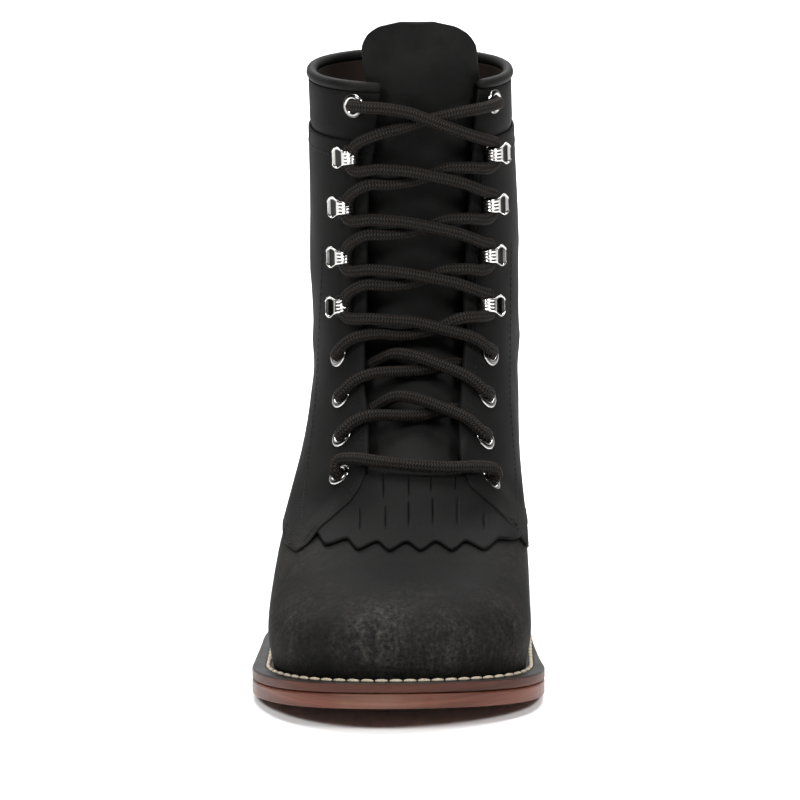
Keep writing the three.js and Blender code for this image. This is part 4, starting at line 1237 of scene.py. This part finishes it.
def out_of_eyelet(side, row, inside_up):
    """Places where the lace comes out through an eyelet, on its way up and into the throat."""
    return in_frame(side, row, (0, inside_up, UNDER + 0.4), (0.2, 0.35 * inside_up, -2.0), (0.2, -0.1, 1.0),
                    (-0.6, 0.6, 3.2))


def round_hook(side, row):
    """Places round a hook's neck, from below it to above it."""
    slot = leather_at(row) + SEAT_CLEAR + 3.05
    return in_frame(side, row, (0.5, -3.2, slot), (0.9, 0, slot), (0.5, 3.2, slot))


def half_lace(side):
    """Places up one half of the lace, from its lowest eyelet to its end behind the top one."""
    route = in_frame(side, 8, (0, 0.8, 4.3), (0, 0.2, 1.6), (0, 0.6, -2.0), (0, 3.5, UNDER + 0.3))
    route += out_of_eyelet(side, 7, -3.5) + strand(6, -side)[::-1]
    route += out_of_eyelet(-side, 6, -1.0) + strand(5, side)[::-1]
    route += out_of_eyelet(side, 5, -1.0) + strand(4, -side)[::-1]
    near = -side
    for row in (4, 3, 2, 1):
        route += round_hook(near, row)
        near = -near
        route += strand(row - 1, near)[::-1]
    end = [(-0.6, -0.2, 3.0), (0, 0, 0.4), (0, 0, -2.4), (0.6, -2.4, -5.6), (1.2, -5.2, -6.6)]
    return route + in_frame(near, 0, *end)


def make_lace():
    start = FITTINGS[-1][8][2]
    end = FITTINGS[1][8][2]
    across, up, lift = np.array(BAR).T
    bar = list(front_point(lerp(start[0], end[0], across), lerp(start[2], end[2], across) + up, lift))
    path = through(half_lace(-1)[::-1] + bar + half_lace(1), 1.05)
    length = float(run_lengths(path, 0)[-1])
    piece = tube("lace", path, LACE_RADIUS, 32, LACE_RIBS, 0.035)
    names = [f"lace_crossing_{row}" for row in range(7)] + ["lace_bar"]
    return finish_piece(piece, braid(length), "lace", *names)


# Sole
WELT_ALONG = [0.0, 0.4, 0.7, 0.8, 0.895, 1.0]
WELT_INNER = [0.045, 0.04, 0.062, 0.075, 0.085, 0.092]
WELT_OUTER = [0.045, 0.035, 0.03, 0.055, 0.083, 0.092]
WELT_LEDGE = 1.5
HEEL_TAPER = 2.5
FOOT_FRONT = SECTIONS[0][SECTION_COLUMNS.index("front")]
FOOT_BACK = SECTIONS[0][SECTION_COLUMNS.index("back")]


def at_height(plan, z):
    return np.stack([plan[:, 0], plan[:, 1], z], axis=-1)


def plan_point(turn, out):
    here = skin(turn, 0.0)
    run = skin(wrap(turn + 0.003), 0.0) - skin(wrap(turn - 0.003), 0.0)
    away = unit(np.stack([run[..., 1], -run[..., 0]], axis=-1))
    return here[..., :2] + away * np.asarray(out, float)[..., None]


def reach_at(turn):
    depth = skin(turn, 0.0)[..., 1] + HEEL_CENTRE
    along = (FOOT_BACK - depth / SOLE_LENGTH) / (FOOT_BACK - FOOT_FRONT)
    inner = np.interp(along, WELT_ALONG, WELT_INNER)
    outer = np.interp(along, WELT_ALONG, WELT_OUTER)
    own = np.where(turn < 0, inner, outer)
    return FOOT_WIDTH * lerp(own, (inner + outer) / 2, ease((np.abs(turn) - 0.9) / 0.1))


def corner_rows(radius, from_top):
    """Insets and drops of a rounded corner, from the flat round to the side."""
    angle = np.linspace(0, RIGHT_ANGLE, 5)
    rows = [(radius * (1 - math.sin(a)), radius * (1 - math.cos(a))) for a in angle]
    return rows if from_top else rows[::-1]


def sole_plate(name, turns, reach, top, bottom, round_over):
    """A closed plate inside the sole's outline. top and bottom: height by depth."""
    thick_at = float(np.mean(top(np.array([60.0, 250.0])) - bottom(np.array([60.0, 250.0]))))
    stages = [(share, round_over, 0.0) for share in (0.0, 0.4, 0.75, 0.93)]
    stages += [(1.0, inset, fall / thick_at) for inset, fall in corner_rows(round_over, True)]
    sides = np.linspace(round_over / thick_at, 1 - round_over / thick_at, 25)[1:-1]
    stages += [(1.0, 0.0, s) for s in sides]
    stages += [(1.0, inset, 1 - fall / thick_at) for inset, fall in corner_rows(round_over, False)]
    stages += [(share, round_over, 1.0) for share in (0.93, 0.75, 0.4, 0.0)]
    rows = []
    for share, inset, fall in stages:
        edge = plan_point(turns, reach(turns) - inset)
        other = plan_point(-turns, reach(-turns) - inset)
        plan = lerp((edge + other) / 2, edge, share)
        depth = plan[:, 1] + HEEL_CENTRE
        z = lerp(top(depth), bottom(depth), fall)
        rows.append(at_height(plan, z))
    return mend(laid_grid(name, np.stack(rows)), 0.01)


def whole_round(count):
    return np.linspace(-1, 1, count)


def make_outsole():
    piece = sole_plate("leather_outsole", whole_round(481), reach_at, outsole_top, underside, 0.9)
    return finish_piece(piece, MAHOGANY, "sole_leather", "outsole")


STITCH_LINE = 1.9
WELT_GROOVE = 0.45


def make_welt():
    turns = whole_round(481)
    reach = reach_at(turns)
    inner = np.full(turns.shape, -LEATHER - WELT_LEDGE)
    rows = [(reach, 0.7)]
    rows += [(reach - 0.6 * (1 - math.cos(a)), 0.6 * (1 - math.sin(a))) for a in (0.4, 0.9, 1.57)]
    for share in np.linspace(0, 1, 26)[1:-1]:
        out = lerp(reach - 0.6, inner, share)
        rows.append((out, WELT_GROOVE * bell(out, STITCH_LINE, 0.7)))
    rows += [(inner, 0.0), (inner, WELT_THICKNESS)]
    rows += [(reach - 0.5, WELT_THICKNESS), (reach, WELT_THICKNESS - 0.5)]
    rows += [(reach, fall) for fall in np.linspace(WELT_THICKNESS - 0.5, 0.7, 6)[1:]]
    points = []
    for out, fall in rows:
        plan = plan_point(turns, out)
        points.append(at_height(plan, welt_top(plan[:, 1] + HEEL_CENTRE) - fall))
    piece = mend(laid_grid("stitched_welt", np.stack(points)))
    mark_worn_and_painted_light(piece, lambda places: ease((welt_top(places[:, 1] + HEEL_CENTRE) - places[:, 2] - 0.25) / 0.3))
    return finish_piece(piece, WELT, "welt_leather", "welt")


def heel_turns(count):
    """Turns round the heel, from the breast on the inner side round the back to the outer side."""
    turns = np.linspace(-1, -0.3, 400)
    depth = skin(turns, 0.0)[:, 1] + HEEL_CENTRE
    breast = float(np.interp(-BREAST, -depth, turns))
    return np.linspace(breast, -2 - breast, count)


def make_heel():
    turns = heel_turns(181)

    def reach(turn):
        return reach_at(wrap(turn)) - GAP

    stack = heel_block("heel_layers", turns, reach, HEEL_HEIGHT - GAP, LIFT_THICKNESS, 0.5, (0.34, 0.67))
    finish_piece(stack, MAHOGANY, "sole_leather", "heel_stack")
    lift = heel_block("rubber_lift", turns, reach, LIFT_THICKNESS - 0.05, 0.0, 0.7, ())
    finish_piece(lift, RUBBER, "heel_rubber", "heel_top_lift")


HEEL_GROOVE = 0.22


def heel_block(name, turns, reach, high, low, round_over, grooves):
    """A block under the heel, flat at the breast, narrowing downwards. grooves: shares of the way down."""
    inside = plan_point(wrap(turns), reach(turns) - 10)
    middle = 0.5 * (inside + inside[::-1])
    rows = []
    thick = high - low
    levels = [(high, round_over, share) for share in (0.0, 0.6, 0.95)]
    levels += [(high - fall, inset, 1.0) for inset, fall in corner_rows(round_over, True)]
    for s in np.linspace(round_over / thick, 1 - round_over / thick, 33)[1:-1]:
        groove = sum(HEEL_GROOVE * bell(s, at, 0.022) for at in grooves)
        levels.append((lerp(high, low, s), groove, 1.0))
    levels += [(low + fall, inset, 1.0) for inset, fall in corner_rows(round_over, False)]
    levels += [(low, round_over, share) for share in (0.95, 0.6, 0.0)]
    for z, inset, share in levels:
        narrow = HEEL_TAPER * (HEEL_HEIGHT - GAP - z) / (HEEL_HEIGHT - GAP - LIFT_THICKNESS)
        edge = plan_point(wrap(turns), reach(turns) - inset - np.minimum(narrow, HEEL_TAPER))
        plan = lerp(middle, edge, share)
        rows.append(at_height(plan, np.full(len(turns), z)))
    return close_breast(laid_grid(name, np.stack(rows)))


def close_breast(piece):
    """Fills the flat face where the block's rows start and end."""
    mend(piece, 0.01)
    clear_selection()
    piece.select_set(True)
    bpy.context.view_layer.objects.active = piece
    bpy.ops.object.mode_set(mode="EDIT")
    bpy.ops.mesh.select_all(action="DESELECT")
    bpy.ops.mesh.select_non_manifold()
    bpy.ops.mesh.edge_face_add()
    bpy.ops.mesh.select_all(action="SELECT")
    bpy.ops.mesh.normals_make_consistent(inside=False)
    bpy.ops.object.mode_set(mode="OBJECT")
    bpy.ops.object.shade_smooth_by_angle(angle=math.radians(40))
    return piece


def make_insole():
    def reach(turn):
        return np.full(np.shape(turn), -LEATHER - WELT_LEDGE - GAP)

    def low(depth):
        return outsole_top(depth) + GAP

    def high(depth):
        return low(depth) + INSOLE_THICKNESS

    piece = sole_plate("sock_insole", whole_round(241), reach, high, low, 0.8)
    return finish_piece(piece, INSOLE, "insole_leather", "insole")


# Stitches

def stitches(name, rows, length, width, height, pitch, material, slot, *nodes):
    """One mesh of stitches laid end to end along rows of points and normals."""
    clear_selection()
    bpy.ops.mesh.primitive_uv_sphere_add(segments=6, ring_count=6, radius=0.5)
    pattern = bpy.context.object
    shape = np.empty(len(pattern.data.vertices) * 3)
    pattern.data.vertices.foreach_get("co", shape)
    shape = shape.reshape(-1, 3)[:, [2, 0, 1]] * [length, width, height]
    faces = [tuple(face.vertices) for face in pattern.data.polygons]
    drop(pattern)
    places = []
    laid = []
    for points, normals in rows:
        run = run_lengths(points, 0)
        at = np.arange(pitch / 2, run[-1], pitch)
        centre = along_run(at, run, points)
        out = unit(along_run(at, run, normals))
        along = unit(along_run(at + 0.3, run, points) - along_run(at - 0.3, run, points))
        across = unit(np.cross(out, along))
        for c, a, b, n in zip(centre, along, across, out):
            laid += [tuple(len(shape) * len(places) + v for v in face) for face in faces]
            places.append(c + shape @ np.array([a, b, n]))
    mesh = bpy.data.meshes.new(name)
    mesh.from_pydata((np.concatenate(places) * MM).tolist(), [], laid)
    piece = bpy.data.objects.new(name, mesh)
    bpy.context.collection.objects.link(piece)
    mend(piece, 0.001)
    return finish_piece(piece, material, slot, *nodes)


def on_leather(turn, climb, out):
    """A row of points and normals on the dressed surface."""
    return surface(turn, climb, out), outward(turn, climb)


def border_row(side, inset, start, stop):
    """A row inside the quarter's front edge, from one distance along it to another."""
    climbs, run = front_edge(side)
    at = np.arange(start, min(stop, run[-1]), 1.0)
    climb = np.interp(at, run, climbs)
    turn = edge_turn(side, climb)
    ride = kiltie_ride(at, inset)
    point, normal = on_leather(turn, climb, OVERLAY)
    along = unit(np.gradient(point, axis=0))
    inwards = np.cross(normal, along) * -side
    return point + inwards * inset + normal * (ride - inset**2 / 90)[..., None], normal


def corner_arches(side):
    """Rows of stitches arched one in another over a quarter's lower front corner."""
    turn = side * np.linspace(0.05, 0.5, 226)
    climb = lower_climb(side, turn)
    behind = np.abs(turn) > np.abs(edge_turn(side, climb))
    turn = turn[behind]
    run = run_lengths(skin(turn, climb[behind]), 0)
    middle = np.interp(13.5, run, turn)
    low = lower_climb(side, middle)
    per_turn = np.linalg.norm(skin(middle + 0.01, low) - skin(middle - 0.01, low)) / 0.02
    per_climb = np.linalg.norm(skin(middle, low + 0.01) - skin(middle, low - 0.01)) / 0.02
    angle = np.linspace(0, math.pi, 60)
    rows = []
    for half in (3.6, 5.9, 8.2, 10.5):
        turn = middle + side * half * np.cos(angle) / per_turn
        climb = lower_climb(side, turn) + (1.8 + 1.25 * half * np.sin(angle)) / per_climb
        rows.append(on_leather(turn, climb, OVERLAY))
    return rows


def make_upper_stitches():
    rows = corner_arches(-1) + corner_arches(1)
    for side in (-1, 1):
        rows.append(border_row(side, 2.8, 2.0, 400))
        if side > 0:
            rows.append(border_row(side, 4.9, 2.0, 400))
        turn = np.linspace(float(edge_turn(side, BAND_CLIMB)) + side * 0.03, side, 120)
        rows.append(on_leather(turn, np.full(turn.shape, BAND_CLIMB - 0.018), OVERLAY))
        z = np.linspace(52, 150, 60)
        x = side * np.interp(z, [52, 90, 150], [42, 38, 37]) + np.interp(z, [52, 150], [0, 3])
        turn, climb = front_place(x, z)
        rows.append(on_leather(turn, climb, OVERLAY))
        turn = np.linspace(side * 0.5, side, 140)
        rows.append(on_leather(turn, lower_climb(side, turn) + 0.018, OVERLAY))
    return stitches("dark_stitches", rows, 2.1, 0.62, 0.5, 2.7, BLACK_THREAD, "upper_leather")


def make_welt_stitches():
    turn = np.linspace(-1, 1, 700)
    plan = plan_point(turn, np.full(turn.shape, STITCH_LINE))
    z = welt_top(plan[:, 1] + HEEL_CENTRE) + 0.1
    points = at_height(plan, z)
    normals = np.tile([0.0, 0.0, 1.0], (len(turn), 1))
    return stitches("cream_stitches", [(points, normals)], 5.0, 1.9, 1.5, 5.3, CREAM_THREAD, "welt_leather")


make_vamp()
make_quarter(-1, "quarter_inner")
make_quarter(1, "quarter_outer")
make_band()
make_lining()
make_collar_roll()
make_tongue()
make_kiltie()
make_eyelets()
make_hooks()
make_lace()
make_outsole()
make_welt()
make_heel()
make_insole()
make_upper_stitches()
make_welt_stitches()


# Floor, light and camera

def make_floor():
    clear_selection()
    bpy.ops.mesh.primitive_plane_add(size=6)
    floor = bpy.context.object
    floor.name = "floor"
    material, tree, shader, place = finish("pale_floor")
    cloud = noise(tree, place, 3, 2)
    tree.links.new(spread(tree, cloud, 0.86, 0.88), shader.inputs["Base Color"])
    shader.inputs["Roughness"].default_value = 0.9
    floor.data.materials.append(material)


def soft_light(name, place, aim, size, power):
    clear_selection()
    bpy.ops.object.light_add(type="AREA", location=place)
    light = bpy.context.object
    light.name = name
    light.data.shape = "DISK"
    light.data.size = size
    light.data.energy = power
    towards = np.array(aim, float) - np.array(place, float)
    flat = math.hypot(towards[0], towards[1])
    light.rotation_euler = (math.atan2(flat, -towards[2]), 0, math.atan2(-towards[0], towards[1]))


# Soft lights: place and aim in metres, width, watts
SOFT_LIGHTS = {
    "left_light": ((-0.8, -1.0, 1.2), (0, -0.15, 0.1), 0.45, 18),
    "right_light": ((0.8, -1.0, 1.15), (0, -0.15, 0.1), 0.45, 16),
    "top_light": ((0, 0.2, 1.9), (0, -0.05, 0.1), 1.4, 55),
    "back_light": ((0, 1.9, 1.7), (0, 1.9, 0), 2.0, 80),
}
SKY_STRENGTH = 0.8
CAMERA_PLACE = (-0.004, -1.7, 0.44)
CAMERA_DIP = 12.3
CAMERA_LENS = 183.2


def light_studio():
    """White behind the boot, dark in front of it, and four soft lights."""
    world = bpy.data.worlds.new("studio")
    world.use_nodes = True
    tree = world.node_tree
    place = tree.nodes.new("ShaderNodeTexCoord")
    split = tree.nodes.new("ShaderNodeSeparateXYZ")
    tree.links.new(place.outputs["Generated"], split.inputs[0])
    sky = ramp(tree, split.outputs["Y"], (0.25, (0.07, 0.07, 0.07)), (0.8, (1.0, 1.0, 1.0)))
    tree.links.new(sky, tree.nodes["Background"].inputs["Color"])
    tree.nodes["Background"].inputs["Strength"].default_value = SKY_STRENGTH
    bpy.context.scene.world = world
    bpy.context.scene.view_settings.view_transform = "Standard"
    for name, (place, aim, width, watts) in SOFT_LIGHTS.items():
        soft_light(name, place, aim, width, watts)


def place_camera():
    bpy.ops.object.camera_add(location=CAMERA_PLACE)
    camera = bpy.context.object
    camera.rotation_euler = (math.radians(90 - CAMERA_DIP), 0, 0)
    camera.data.lens = CAMERA_LENS
    camera.data.sensor_width = 36
    bpy.context.scene.camera = camera


make_floor()
light_studio()
place_camera()
bpy.context.view_layer.update()
